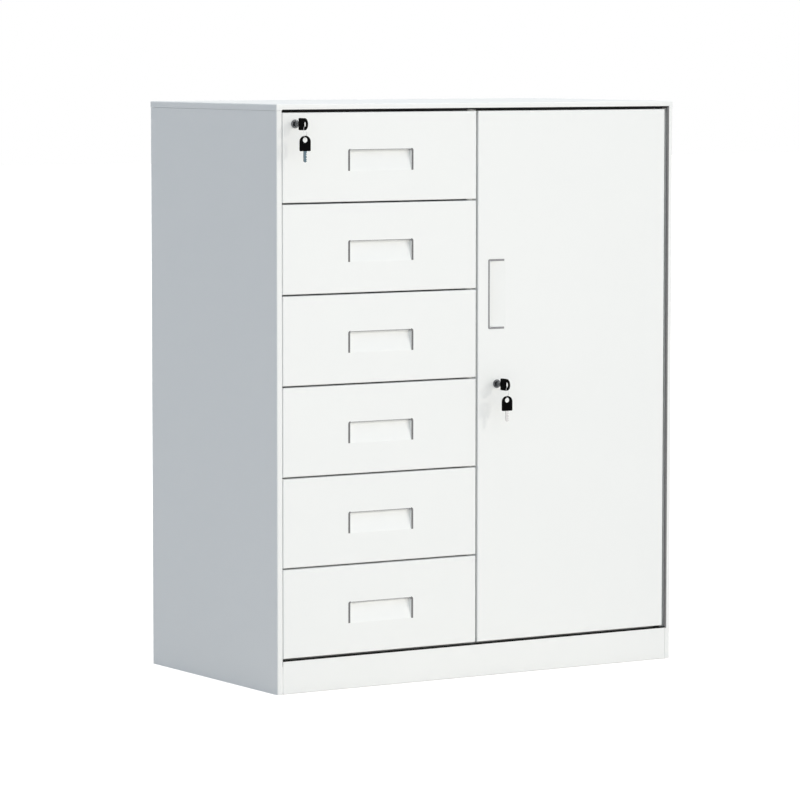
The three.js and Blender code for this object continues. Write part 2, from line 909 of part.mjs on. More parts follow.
function lockPlug(x, z) {
  const back = camFront - jointGap;
  const outline = [
    point(0, -noseTip),
    point(plugRadius - plugChamfer, -noseTip),
    point(plugRadius, -noseTip + plugChamfer),
    point(plugRadius, back),
    point(0, back),
  ];
  const half = tangSize / 2;
  const tang = block(
    place(x - half, back - cutOver, z - half),
    place(x + half, camFront + camThickness + jointGap, z + half),
  );
  const keywayHalf = bladeThickness / 2 + jointGap;
  const keywayEdge = bladeWidth / 2 + jointGap;
  const keyway = block(
    place(x - keywayHalf, -noseTip - cutOver, z - keywayEdge),
    place(x + keywayHalf, bladeLength - bowFoot + cutOver, z + keywayEdge),
  );
  return turnedAlongY(outline, x, z, roundSteps).add(tang).subtract(keyway);
}

// Flat cam with a square hole on the plug's tang; the arm points from the hub to (reachX, reachZ).
function camPlate(x, z, reachX, reachZ, armHalf) {
  const direction = point(reachX, reachZ).normalize();
  const across = point(-direction.y, direction.x).multiplyScalar(armHalf);
  const tip = point(x + reachX, z + reachZ);
  const root = point(x, z);
  const arm = new THREE.Shape([
    root.clone().add(across),
    root.clone().sub(across),
    tip.clone().sub(across),
    tip.clone().add(across),
  ]);
  const front = camFront;
  const back = camFront + camThickness;
  const hole = tangSize / 2 + jointGap;
  const plate = roundAlongY(camHubRadius, x, z, front, back)
    .add(forward(arm, front, back))
    .add(roundAlongY(armHalf, tip.x, tip.y, front, back));
  return plate.subtract(
    block(place(x - hole, front - cutOver, z - hole), place(x + hole, back + cutOver, z + hole)),
  );
}

function drawerLockCam() {
  const plate = camPlate(drawerLockX, drawerLockZ, -camLift, -camLift, camEdge);
  const back = camFront + camThickness;
  return plate.add(roundAlongY(camPinRadius, camPinX, camPinZ, back - halfSheet, back + camPinLength));
}

function doorLockCam() {
  return camPlate(doorLockX, doorLockZ, 0, -doorCamReach, camEdge + tabThickness);
}

// Key in its own axes: length along the first, with the bow ahead of 0 and the blade behind it.
function keySolid(origin, axes) {
  const half = bowWidth / 2;
  const bow = new THREE.Shape();
  bow.moveTo(0, -half + foldRadius);
  bow.lineTo(foldRadius, -half);
  bow.lineTo(bowLength - bowDome, -half);
  bow.absellipse(bowLength - bowDome, 0, bowDome, half, -Math.PI / 2, Math.PI / 2);
  bow.lineTo(foldRadius, half);
  bow.lineTo(0, half - foldRadius);
  bow.holes.push(new THREE.Path().absarc(bowLength - bowHoleInset, 0, bowHoleRadius, 0, 2 * Math.PI));
  const blade = new THREE.Shape(bladeOutline());
  const bowBody = extrusion(bow, bowThickness).translate(0, 0, -bowThickness / 2);
  const bladeBody = extrusion(blade, bladeThickness).translate(0, 0, -bladeThickness / 2);
  return placed(bowBody, origin, ...axes).add(placed(bladeBody, origin, ...axes));
}

// Blade outline with its cuts along one edge, each as a shallow trapezium.
function bladeOutline() {
  const half = bladeWidth / 2;
  const pitch = (bladeLength - bladeTip) / (bitCutShares.length + 1);
  const cuts = bitCutShares.flatMap((share, index) => {
    const start = -(index + 1) * pitch;
    const level = half - share * bladeWidth;
    return [
      point(start, half),
      point(start - pitch / 4, level),
      point(start - pitch / 2, level),
      point(start - (pitch * 3) / 4, half),
    ];
  });
  return [
    point(bladeRoot, half),
    ...cuts,
    point(-bladeLength + bladeTip, half),
    point(-bladeLength, 0),
    point(-bladeLength + bladeTip, -half),
    point(bladeRoot, -half),
  ];
}

function insertedKey(x, z) {
  return keySolid(place(x, -bowFoot, z), [Y.clone().negate(), Z, X.clone().negate()]);
}

function spareKey(x, z) {
  const foot = z - keyHang - (bowLength - bowHoleInset);
  return keySolid(place(x, bowHoleY, foot), [Z, X, Y]);
}

// Split ring through both bow holes; it crosses each bow at the same slant.
function keyRing(x, z) {
  const reach = bowHoleRadius - ringWire - jointGap;
  const slant = bowThickness / 2 + ringWire / Math.cos(ringTurn);
  const drop = Math.sqrt(reach * reach - slant * slant) - jointGap; // from a hole's middle to the wire
  const radius = keyHang / 2 - drop;
  const ring = new THREE.TorusGeometry(radius, ringWire, roundSteps / 4, roundSteps);
  const across = X.clone().multiplyScalar(Math.cos(ringTurn)).addScaledVector(Y, Math.sin(ringTurn));
  return placed(ring, place(x, bowHoleY, z - keyHang / 2), across, Z, across.clone().cross(Z));
}

// Materials, one for each finish

function finish(color, roughness, metalness) {
  return new THREE.MeshStandardMaterial({ color, roughness, metalness });
}

const whitePowder = finish(0xf4f6f5, 0.55, 0);
const zincSteel = finish(0xb9bec2, 0.35, 0.9);
const chrome = finish(0xa9abb0, 0.25, 1);
const blackPlastic = finish(0x141416, 0.5, 0);
const keySteel = finish(0x8f989f, 0.3, 1);

const cabinet = new THREE.Group();
// The origin lies under the middle of the whole body, keys included.
const keyEnd = -(bowFoot + bowLength);
cabinet.position.set(-cabinetWidth / 2, -(cabinetDepth + keyEnd) / 2, 0);

function addPart(group, name, solid, material) {
  const result = solid.getMesh();
  const geometry = new THREE.BufferGeometry();
  geometry.setAttribute("position", new THREE.BufferAttribute(result.vertProperties, result.numProp));
  geometry.setIndex(new THREE.BufferAttribute(result.triVerts, 1));
  const mesh = new THREE.Mesh(geometry, material);
  mesh.name = name;
  group.add(mesh);
}

function addCarcass() {
  const carcass = new THREE.Group();
  cabinet.add(carcass);
  addPart(carcass, "left_side_panel", sidePanel("left"), whitePowder);
  addPart(carcass, "right_side_panel", sidePanel("right"), whitePowder);
  addPart(carcass, "top_panel", topPanel(), whitePowder);
  addPart(carcass, "plinth_rail", plinthRail(), whitePowder);
  addPart(carcass, "floor_panel", floorPanel(), whitePowder);
  addPart(carcass, "back_panel", backPanel(), whitePowder);
  addPart(carcass, "left_liner", leftLiner(), whitePowder);
  addPart(carcass, "right_liner", rightLiner(), whitePowder);
  addPart(carcass, "centre_partition", partition(), whitePowder);
  addPart(carcass, "lock_bar", lockBar(), zincSteel);
}

function addDrawers() {
  for (const number of drawerNumbers()) {
    const drawer = new THREE.Group();
    cabinet.add(drawer);
    addPart(drawer, `drawer_${number}_front`, drawerFront(number), whitePowder);
    addPart(drawer, `drawer_${number}_box`, drawerBox(number), whitePowder);
    addPart(drawer, `drawer_${number}_rail_left`, movingRail(linerFace, 1, number), zincSteel);
    addPart(drawer, `drawer_${number}_rail_right`, movingRail(partitionFace, -1, number), zincSteel);
  }
}

function addDoor() {
  const door = new THREE.Group();
  cabinet.add(door);
  addPart(door, "door_skin", doorSkin(), whitePowder);
  addPart(door, "door_liner", doorLiner(), whitePowder);
  addPart(cabinet, "hinge_pin_lower", pivotPin(plinthHeight, frontsBottom, 1), zincSteel);
  addPart(cabinet, "hinge_pin_upper", pivotPin(bodyTop, frontsTop, -1), zincSteel);
}

function addShelves() {
  shelfSlotRows.forEach((row, index) => {
    const name = ["lower", "upper"][index];
    addPart(cabinet, `shelf_${name}`, shelf(row), whitePowder);
    clipPlaces().forEach((middle, end) => {
      const where = ["front", "rear"][end];
      const left = shelfClip(partitionFace + sheet, 1, row, middle);
      const right = shelfClip(rightLinerFace, -1, row, middle);
      addPart(cabinet, `shelf_clip_${name}_left_${where}`, left, zincSteel);
      addPart(cabinet, `shelf_clip_${name}_right_${where}`, right, zincSteel);
    });
  });
}

function addLock(prefix, x, z, cam) {
  const lock = new THREE.Group();
  cabinet.add(lock);
  addPart(lock, `${prefix}_lock_housing`, lockHousing(x, z), chrome);
  addPart(lock, `${prefix}_lock_plug`, lockPlug(x, z), chrome);
  addPart(lock, `${prefix}_lock_cam`, cam, zincSteel);
  addPart(lock, `${prefix}_key`, insertedKey(x, z), blackPlastic);
  addPart(lock, `${prefix}_key_ring`, keyRing(x, z), keySteel);
  addPart(lock, `${prefix}_spare_key`, spareKey(x, z), blackPlastic);
}

addCarcass();
addDrawers();
addDoor();
addShelves();
addLock("drawer", drawerLockX, drawerLockZ, drawerLockCam());
addLock("door", doorLockX, doorLockZ, doorLockCam());

export default cabinet;
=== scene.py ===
import json
import math

import bmesh
import bpy
from bpy.props import FloatProperty, FloatVectorProperty, IntProperty, PointerProperty
from mathutils import Matrix, Vector

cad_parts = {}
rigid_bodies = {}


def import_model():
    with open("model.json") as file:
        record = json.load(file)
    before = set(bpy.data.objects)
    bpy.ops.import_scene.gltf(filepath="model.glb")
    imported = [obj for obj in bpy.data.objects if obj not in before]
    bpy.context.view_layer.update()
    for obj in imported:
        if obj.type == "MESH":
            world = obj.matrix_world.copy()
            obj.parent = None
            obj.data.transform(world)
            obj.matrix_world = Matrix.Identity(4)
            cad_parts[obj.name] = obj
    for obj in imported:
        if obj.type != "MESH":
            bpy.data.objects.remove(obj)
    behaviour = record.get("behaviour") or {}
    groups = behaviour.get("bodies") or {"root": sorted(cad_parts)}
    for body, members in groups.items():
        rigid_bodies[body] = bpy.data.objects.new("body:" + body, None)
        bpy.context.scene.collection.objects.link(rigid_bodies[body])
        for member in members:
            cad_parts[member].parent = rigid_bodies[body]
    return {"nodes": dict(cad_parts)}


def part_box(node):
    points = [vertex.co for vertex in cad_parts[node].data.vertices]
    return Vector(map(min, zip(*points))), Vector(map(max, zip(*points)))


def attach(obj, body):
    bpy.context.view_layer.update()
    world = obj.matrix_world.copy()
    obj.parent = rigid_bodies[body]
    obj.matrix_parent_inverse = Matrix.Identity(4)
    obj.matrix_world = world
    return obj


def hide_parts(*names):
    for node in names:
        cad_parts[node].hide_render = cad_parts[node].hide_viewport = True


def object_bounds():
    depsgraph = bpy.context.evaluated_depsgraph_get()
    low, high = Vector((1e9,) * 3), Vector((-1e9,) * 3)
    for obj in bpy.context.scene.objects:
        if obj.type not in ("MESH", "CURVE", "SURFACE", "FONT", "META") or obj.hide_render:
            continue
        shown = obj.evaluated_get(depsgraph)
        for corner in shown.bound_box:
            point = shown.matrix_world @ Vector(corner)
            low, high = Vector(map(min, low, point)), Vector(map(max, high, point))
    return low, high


bl_info = {
    "name": "Drawer and Door Cabinet",
    "version": (1, 0, 0),
    "blender": (4, 5, 0),
    "location": "View3D > Sidebar > Cabinet",
    "description": "Finishes, locks, keys, slides and small fittings of a sheet-steel cabinet",
    "category": "Object",
}

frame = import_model()
BOX_AT_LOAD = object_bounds()

DRAWERS = range(1, 7)
SIDES = ("left", "right")
RIGHT, LEFT = (1, 0, 0), (-1, 0, 0)
INWARD, OUTWARD = (0, 1, 0), (0, -1, 0)
UP, DOWN = (0, 0, 1), (0, 0, -1)
SAME_POINT = 0.000001  # metres between two points that are merged
ROUND_SHARE = 0.5523  # of a quarter round's radius, from its end to the handle of its curve
WHITE_SHEETS = [
    "left_side_panel", "right_side_panel", "top_panel", "plinth_rail", "floor_panel", "back_panel",
    "left_liner", "right_liner", "centre_partition", "shelf_lower", "shelf_upper", "door_skin", "door_liner",
    *(f"drawer_{n}_{part}" for n in DRAWERS for part in ("front", "box")),
]

# Outlines of small round parts, from the middle of the top outwards, as shares of radius and height.
# A screw head has a driver recess, and a blind rivet the hole that its pin broke off in.
PAN_HEAD = ((0, 0.45), (0.34, 0.5), (0.42, 1), (0.62, 0.97), (0.84, 0.8), (0.97, 0.45), (1, 0), (0, 0))
RIVET_HEAD = ((0, 0.3), (0.3, 0.3), (0.38, 1), (0.68, 0.86), (0.92, 0.45), (1, 0), (0, 0))
BUMPER = ((0, 1), (0.7, 1), (1, 0.6), (1, 0), (0, 0))


# Settings

def length_setting(name, description, default):
    return FloatProperty(name=name, description=description, unit="LENGTH", min=0, default=default)


def share_setting(name, description, default):
    return FloatProperty(name=name, description=description, subtype="FACTOR", min=0, max=1, default=default)


def number_setting(name, description, default):
    return FloatProperty(name=name, description=description, min=0, default=default)


def count_setting(name, description, default):
    return IntProperty(name=name, description=description, min=2, default=default)


def angle_setting(name, description, degrees):
    return FloatProperty(name=name, description=description, subtype="ANGLE", default=math.radians(degrees))


def place_setting(name, description, default):
    return FloatVectorProperty(
        name=name, description=description, subtype="XYZ", unit="LENGTH", size=3, default=default,
    )


def colour_setting(name, description, default):
    return FloatVectorProperty(
        name=name, description=description, subtype="COLOR", size=3, min=0, max=1, default=default,
    )


class CabinetFinish(bpy.types.PropertyGroup):
    powder_white: colour_setting("Powder coat", "Colour of the coated sheet steel", (0.905, 0.922, 0.914))
    powder_roughness: share_setting("Powder roughness", "How matt the coat is", 0.42)
    zinc: colour_setting("Zinc", "Colour of plated inner parts", (0.56, 0.58, 0.6))
    lock_metal: colour_setting("Lock metal", "Colour of the plated lock parts", (0.12, 0.125, 0.135))
    pin_black: colour_setting("Pin black", "Colour of the blackened hinge pins", (0.014, 0.014, 0.015))
    ring_metal: colour_setting("Ring metal", "Colour of the key rings", (0.74, 0.75, 0.76))
    blued_blade: colour_setting("Blued blade", "Colour of the drawer lock's spare blade", (0.09, 0.13, 0.16))
    pale_blade: colour_setting("Pale blade", "Colour of the door lock's spare blade", (0.5, 0.5, 0.51))
    grip_black: colour_setting("Key grip", "Colour of the moulded key grips", (0.0018, 0.0018, 0.002))
    # The drawer trim's grey is painted shade along the ends of a drawer pull.
    drawer_pull_painted_shade: colour_setting("Drawer seal", "Colour of the trim beside a drawer pull", (0.2, 0.2, 0.205))
    # The door seal's grey and the drawers' beads are painted shade along the pulls' edges.
    door_and_bead_painted_shade: colour_setting(
        "Door seal", "Colour of the seal round the door pull and of the drawers' beads", (0.34, 0.34, 0.35),
    )
    # Black of the door bumpers' rubber, and painted shade on the frame seals above and below the fronts.
    black_rubber_and_shade: colour_setting(
        "Frame seal", "Colour of the seals above and below the fronts", (0.008, 0.008, 0.0085),
    )
    # The side seal's grey is painted shade beside the door's gap.
    side_painted_shade: colour_setting("Side seal", "Colour of the seal beside the door", (0.19, 0.19, 0.195))
    edge_radius: length_setting("Sheet edge", "Rounding of cut sheet edges", 0.00025)


class CabinetPull(bpy.types.PropertyGroup):
    width: length_setting("Width", "Length of a drawer pull's grip edge", 0.142)
    door_width: length_setting("Door width", "Length of the door pull's grip edge", 0.134)
    height: length_setting("Height", "From the shallow end to the grip edge", 0.040)
    undercut: length_setting("Undercut", "How far the pocket reaches behind the grip edge", 0.008)
    depth: length_setting("Depth", "Depth at the pocket's far end", 0.0125)
    corner: length_setting("Corner", "Corner radius of the opening", 0.0035)
    drop: length_setting("Drop", "From the top of a drawer front to the grip edge", 0.0695)
    door_inset: length_setting("Door inset", "From the door's free edge to the grip edge", 0.0228)
    door_top_share: share_setting(
        "Door height", "Height of the door pull's top end, as a share of the door's height", 0.722,
    )
    seam: length_setting("Seam", "Between the opening's edge and the cheek", 0.003)
    door_seam: length_setting("Door seam", "Width of the door pull's seam", 0.0042)
    cheek: length_setting("Cheek", "Thickness of a cheek", 0.0008)
    lip: length_setting("Lip", "Width of the trim outside the opening", 0.0011)
    proud: length_setting("Proud", "Thickness of a trim on the face", 0.0003)
    bead: length_setting("Bead", "Height of the soft bead under a drawer's grip edge", 0.0012)
    slack: length_setting("Slack", "Between a trim or bead and the sheet beside it", 0.000015)
    rim: length_setting("Rim", "Width of the door pull's grip rim", 0.003)
    seal_start: length_setting("Seal start", "From the shallow end to where the door's seal begins", 0.0028)
    seal_recess: length_setting("Seal recess", "How far the door's seal lies behind the face", 0.00025)
    seal_thickness: length_setting("Seal thickness", "Thickness of the door pull's seal", 0.0004)
    seal_slack: length_setting("Seal slack", "Between the door's seal and the walls of its seam", 0.00021)


class CabinetKey(bpy.types.PropertyGroup):
    bow_length: length_setting("Bow length", "Length of the grip", 0.0285)
    bow_width: length_setting("Bow width", "Width of the grip", 0.0225)
    bow_thickness: length_setting("Bow thickness", "Thickness of the grip", 0.004)
    bow_dome: length_setting("Dome", "Length of the rounded end", 0.011)
    bow_foot: length_setting("Foot corner", "Radius of the foot corners", 0.002)
    hole_radius: length_setting("Hole", "Radius of the ring hole", 0.005)
    hole_spread: number_setting("Hole spread", "Width of the ring hole over its height", 1.14)
    hole_inset: length_setting("Hole inset", "From the round end to the middle of the hole", 0.008)
    border: length_setting("Border", "Raised border of the grip", 0.0009)
    recess: length_setting("Recess", "Depth inside the border", 0.0003)
    blade_length: length_setting("Blade", "Length of the blade", 0.021)
    blade_width: length_setting("Blade width", "Width of the blade", 0.0067)
    blade_thickness: length_setting("Blade thickness", "Thickness of the blade", 0.002)
    blade_tip: length_setting("Tip", "Length of the blade's pointed end", 0.002412)
    groove: length_setting("Groove", "Depth of the blade's grooves", 0.0005)
    groove_far: share_setting("Groove far edge", "From the middle, as a share of the blade's width", 0.34)
    groove_near: share_setting("Groove near edge", "From the middle, as a share of the blade's width", 0.06)
    ring_wire: length_setting("Ring wire", "Thickness of a key ring", 0.0006)


class CabinetFixing(bpy.types.PropertyGroup):
    sheet: length_setting("Sheet", "Thickness of the steel", 0.001)
    screw_radius: length_setting("Screw", "Radius of a pan head", 0.0036)
    screw_height: length_setting("Screw height", "Height of a pan head", 0.0017)
    rail_screws: count_setting("Rail screws", "Screws through each moving rail", 3)
    rail_axis: length_setting("Rail height", "From the bottom of a box to its rail screws", 0.048)
    rivet_radius: length_setting("Rivet", "Radius of a rivet head", 0.003)
    rivet_height: length_setting("Rivet height", "Height of a rivet head", 0.0008)
    rivets: count_setting("Rivets", "Rivets up each side of the back", 8)
    flange: length_setting("Flange", "Width of the rear flanges", 0.015)
    nut_radius: length_setting("Lock nut", "Corner radius of a lock's nut", 0.0104)
    nut_bore: length_setting("Nut bore", "Radius of the hole in a lock's nut", 0.006656)
    nut_height: length_setting("Nut height", "Height of a lock's nut", 0.0037)
    nut_gap: length_setting("Nut gap", "Between a lock's nut and the sheet before it", 0.0003)
    keeper_radius: length_setting("Cam keeper", "Radius of the clip or screw behind a cam", 0.00414)
    clip_height: length_setting("Clip height", "Height of the clip behind the drawer lock's cam", 0.00045)
    bumper_radius: length_setting("Bumper", "Radius of a door bumper", 0.0021)
    bumper_height: length_setting("Bumper height", "Height of a door bumper", 0.001)
    bumper_share: share_setting("Bumper place", "From an end of the door's liner, as a share of it", 0.06)
    frame_face: length_setting("Frame face", "Width of the front frame", 0.012)
    seal_lip: length_setting("Seal lip", "Width of the frame seal on the face", 0.002)
    side_lip: length_setting("Side lip", "Width of the seal beside the door, on the face", 0.0034)
    seal_foot: length_setting("Seal foot", "Thickness of the frame seal in the gap", 0.0012)
    seal_depth: length_setting("Seal depth", "How deep the frame seal reaches into the gap", 0.0025)
    seal_slack: length_setting("Seal slack", "Between the frame seal and the sheet beside it", 0.00003)


class CabinetStage(bpy.types.PropertyGroup):
    lens: FloatProperty(
        name="Lens", description="Focal length for a 36 mm sensor", unit="CAMERA", min=10, default=189.74,
    )
    camera_place: place_setting("Camera", "Where the camera stands", (-4.4142, -6.9253, 1.2144))
    camera_turn: angle_setting("Turn", "How far the camera looks to the right of straight ahead", 32.257)
    camera_dip: angle_setting("Dip", "How far the camera looks down", 4.853)
    camera_roll: angle_setting("Roll", "Roll of the camera", -0.033)
    lamp_tint: colour_setting("Lamp tint", "Colour of the lamps", (1.0, 0.942, 0.855))
    key_strength: number_setting("Key light", "Strength of the lamp that draws the shadows", 0.42)
    fill_strength: number_setting("Fill light", "Strength of the low, broad lamp", 0.6)
    top_strength: number_setting("Top light", "Strength of the lamp overhead", 1.2)
    front_power: FloatProperty(
        name="Front light", description="Power of the near lamp before the upper left", unit="POWER", min=0,
        default=40,
    )
    front_size: length_setting("Front size", "Width of the near lamp", 0.8)
    front_place: place_setting("Front place", "Where the near lamp stands", (-0.2475, -4.2106, 1.045))
    front_aim: place_setting("Front aim", "Where the near lamp points", (0, -0.2632, 0.605))
    sky_strength: number_setting("Sky", "Strength of the even light all round", 0.535)
    sky_tint: colour_setting("Sky tint", "Colour of the even light", (0.75, 0.86, 1.0))
    floor_tint: colour_setting("Floor", "Colour of the floor", (0.57, 0.55, 0.53))
    floor_lift: number_setting("Floor lift", "How much the floor glows where the camera sees it", 0.78)


def finish():
    return bpy.context.scene.cabinet_finish


def pull_sizes():
    return bpy.context.scene.cabinet_pull


def key_sizes():
    return bpy.context.scene.cabinet_key


def fixing_sizes():
    return bpy.context.scene.cabinet_fixing


def stage_settings():
    return bpy.context.scene.cabinet_stage


# Materials

def new_material(name):
    made = bpy.data.materials.new(name)
    made.use_nodes = True
    return made, made.node_tree, made.node_tree.nodes["Principled BSDF"]


def link(tree, source, output, target, socket):
    tree.links.new(source.outputs[output], target.inputs[socket])


def node(tree, kind, **values):
    """A new node, with its settings first and then the values of its sockets, by name."""
    made = tree.nodes.new(kind)
    for name, value in values.items():
        if name in made.inputs:
            made.inputs[name].default_value = value
        else:
            setattr(made, name, value)
    return made


def object_noise(tree, scale, detail=2.0):
    """Noise in the piece's own place, in metres."""
    noise = node(tree, "ShaderNodeTexNoise", Scale=scale, Detail=detail)
    link(tree, node(tree, "ShaderNodeTexCoord"), "Object", noise, "Vector")
    return noise


def tint_by(tree, shader, noise, first, second):
    """Lets the colour follow a noise."""
    mix = node(tree, "ShaderNodeMix", data_type="RGBA", A=(*first, 1), B=(*second, 1))
    link(tree, noise, "Fac", mix, "Factor")
    link(tree, mix, "Result", shader, "Base Color")


def roughen_by(tree, shader, noise, smooth, rough):
    """Lets the roughness follow a noise."""
    ends = {"From Min": 0.3, "From Max": 0.7, "To Min": smooth, "To Max": rough}
    ramp = node(tree, "ShaderNodeMapRange", **ends)
    link(tree, noise, "Fac", ramp, "Value")
    link(tree, ramp, "Result", shader, "Roughness")


def add_bumps(tree, shader, *layers):
    """Stacks bumps, each (noise, strength, distance)."""
    last = None
    for noise, strength, distance in layers:
        bump = node(tree, "ShaderNodeBump", Strength=strength, Distance=distance)
        link(tree, noise, "Fac", bump, "Height")
        if last:
            link(tree, last, "Normal", bump, "Normal")
        last = bump
    link(tree, last, "Normal", shader, "Normal")


def powder_coat():
    """Baked powder: a fine orange peel, slight cloudiness and a soft sheen."""
    made, tree, shader = new_material("powder_coat_white")
    colour = Vector(finish().powder_white)
    tint_by(tree, shader, object_noise(tree, scale=5, detail=3), colour * 0.985, colour)
    matt, change = finish().powder_roughness, 0.05
    roughen_by(tree, shader, object_noise(tree, scale=60), matt - change, matt + change)
    peel = object_noise(tree, scale=420, detail=1.5)
    grain = object_noise(tree, scale=2400)
    add_bumps(tree, shader, (peel, 0.12, 0.0004), (grain, 0.08, 0.00008))
    shader.inputs["Specular IOR Level"].default_value = 0.45
    return made


def plated_metal(name, colour, darker=0.85, smooth=0.25, rough=0.4, cloud_scale=90):
    """Plated steel: cloudy patches, a fine grain and a sheen that varies."""
    made, tree, shader = new_material(name)
    colour = Vector(colour)
    cloud = object_noise(tree, cloud_scale, detail=4)
    tint_by(tree, shader, cloud, colour * darker, colour)
    roughen_by(tree, shader, cloud, smooth, rough)
    grain = object_noise(tree, scale=1500)
    add_bumps(tree, shader, (grain, 0.1, 0.00005))
    shader.inputs["Metallic"].default_value = 1.0
    return made


def zinc_plate():
    return plated_metal("zinc_plate", finish().zinc, darker=0.82, smooth=0.28, rough=0.45)


def dark_nickel():
    return plated_metal("dark_nickel", finish().lock_metal, smooth=0.2, rough=0.34, cloud_scale=300)


def ring_steel():
    colour = finish().ring_metal
    return plated_metal("ring_steel", colour, darker=0.95, smooth=0.12, rough=0.2, cloud_scale=400)


def blued_steel():
    return plated_metal("blued_steel", finish().blued_blade, smooth=0.3, rough=0.42, cloud_scale=400)


def blackened_steel():
    return plated_metal("blackened_steel", finish().pin_black, smooth=0.45, rough=0.6, cloud_scale=400)


def pale_steel():
    colour = finish().pale_blade
    return plated_metal("pale_steel", colour, darker=0.92, smooth=0.25, rough=0.38, cloud_scale=400)


def moulded(name, colour, smooth, rough, texture, scale=3000, shine=0.12):
    """Moulded plastic or rubber: nearly even colour with a fine surface texture."""
    made, tree, shader = new_material(name)
    colour = Vector(colour)
    cloud = object_noise(tree, scale=200)
    tint_by(tree, shader, cloud, colour * 0.85, colour * 1.15)
    roughen_by(tree, shader, cloud, smooth, rough)
    add_bumps(tree, shader, (object_noise(tree, scale), texture, 0.00006))
    shader.inputs["Specular IOR Level"].default_value = shine
    return made


def black_grip():
    colour = finish().grip_black
    return moulded("black_grip", colour, smooth=0.4, rough=0.52, texture=0.15, scale=2500, shine=0.015)


# Grey trim material: painted shade for the shade line along a drawer pull's ends.
def drawer_pull_painted_shade():
    return moulded("drawer_pull_painted_shade", finish().drawer_pull_painted_shade, smooth=0.7, rough=0.85, texture=0.3)


# Grey material of the door pull's seal and the drawers' beads: painted shade along the pulls' edges.
def door_and_bead_painted_shade():
    return moulded("door_and_bead_painted_shade", finish().door_and_bead_painted_shade, smooth=0.7, rough=0.85, texture=0.3)


# Black rubber of the door bumpers; on the frame seals the same black is painted shade along the gaps.
def black_rubber_and_shade():
    return moulded("black_rubber_and_shade", finish().black_rubber_and_shade, smooth=0.6, rough=0.75, texture=0.25, shine=0.05)


# Grey material of the seal beside the door: painted shade along the frame strip by the door's gap.
def side_painted_shade():
    return moulded("side_painted_shade", finish().side_painted_shade, smooth=0.6, rough=0.75, texture=0.25)


MATERIALS = {}


def paint(piece, maker):
    """Gives a piece the material that one of the functions above makes, made once."""
    if maker not in MATERIALS:
        MATERIALS[maker] = maker()
    piece.data.materials.clear()
    piece.data.materials.append(MATERIALS[maker])


def round_edges(piece, width, turn=35):
    """Rounds the edges where a surface turns by more than some degrees."""
    bevel = piece.modifiers.new("edges", "BEVEL")
    bevel.width = width
    bevel.segments = 2
    bevel.limit_method = "ANGLE"
    bevel.angle_limit = math.radians(turn)


def dress(name, maker):
    """Gives a CAD part its finish, and rounds its cut edges without touching its mesh."""
    piece = frame["nodes"][name]
    paint(piece, maker)
    weld = piece.modifiers.new("weld", "WELD")
    weld.merge_threshold = 0.00001
    flat = piece.modifiers.new("flat_faces", "DECIMATE")
    flat.decimate_type = "DISSOLVE"
    flat.angle_limit = math.radians(0.5)
    round_edges(piece, finish().edge_radius, turn=40)


# Shaping

def own_axes(origin, first, second, third):
    """Lays a shape's own axes along three directions, with its origin at a place."""
    return Matrix.Translation(origin) @ Matrix((first, second, third)).transposed().to_4x4()


def only(kind, geometry):
    return [element for element in geometry if isinstance(element, kind)]


def all_of(shape):
    return shape.verts[:] + shape.edges[:] + shape.faces[:]


def whole(faces):
    """Faces with their edges and corners, because an extrusion of bare faces leaves them inside."""
    edges = dict.fromkeys(edge for face in faces for edge in face.edges)
    verts = dict.fromkeys(vert for face in faces for vert in face.verts)
    return [*verts, *edges, *faces]


def close_up(shape, place=None):
    """Merges doubled points, lays the shape in its place and turns its faces outwards."""
    bmesh.ops.remove_doubles(shape, verts=shape.verts, dist=SAME_POINT)
    if place is not None:
        shape.transform(place)
    shape.normal_update()
    bmesh.ops.recalc_face_normals(shape, faces=shape.faces)


def section(shape, low, high, level):
    """A flat rectangle across the second axis; low and high are its places on the first and third."""
    verts = bmesh.ops.create_grid(shape, x_segments=1, y_segments=1, size=0.5)["verts"]
    bmesh.ops.scale(shape, vec=(high[0] - low[0], high[1] - low[1], 1), verts=verts)
    bmesh.ops.rotate(shape, cent=(0, 0, 0), matrix=Matrix.Rotation(math.pi / 2, 3, "X"), verts=verts)
    middle = ((low[0] + high[0]) / 2, level, (low[1] + high[1]) / 2)
    bmesh.ops.translate(shape, vec=middle, verts=verts)
    return verts[0].link_faces[0]


def push(shape, faces, step):
    """Extrudes faces along a step and gives the first one's new place."""
    made = bmesh.ops.extrude_face_region(shape, geom=whole(faces))["geom"]
    bmesh.ops.translate(shape, vec=step, verts=only(bmesh.types.BMVert, made))
    return only(bmesh.types.BMFace, made)[0]


def swing(shape, face, centre):
    """Turns a face a quarter turn to the right round a corner and gives its new place."""
    made = bmesh.ops.spin(
        shape, geom=whole([face]), cent=centre, axis=(0, 0, 1), angle=-math.pi / 2, steps=6,
    )
    return only(bmesh.types.BMFace, made["geom_last"])[0]


def lathe(shape, outline, radius, height, place):
    """Spins an outline of shares of a radius and a height round the place's third axis."""
    known = set(shape.verts)
    verts = [shape.verts.new((out * radius, 0, up * height)) for out, up in outline]
    edges = [shape.edges.new(pair) for pair in zip(verts, verts[1:])]
    bmesh.ops.spin(
        shape, geom=verts + edges, cent=(0, 0, 0), axis=(0, 0, 1), angle=math.tau, steps=24, use_merge=True,
    )
    turned = [vert for vert in shape.verts if vert not in known]
    bmesh.ops.transform(shape, matrix=place, verts=turned)


def cut_off(shape, place, normal):
    """Takes away what lies beyond a plane and closes the cut."""
    cut = bmesh.ops.bisect_plane(
        shape, geom=all_of(shape), dist=SAME_POINT, plane_co=place, plane_no=normal, clear_outer=True,
    )["geom_cut"]
    bmesh.ops.holes_fill(shape, edges=only(bmesh.types.BMEdge, cut), sides=0)


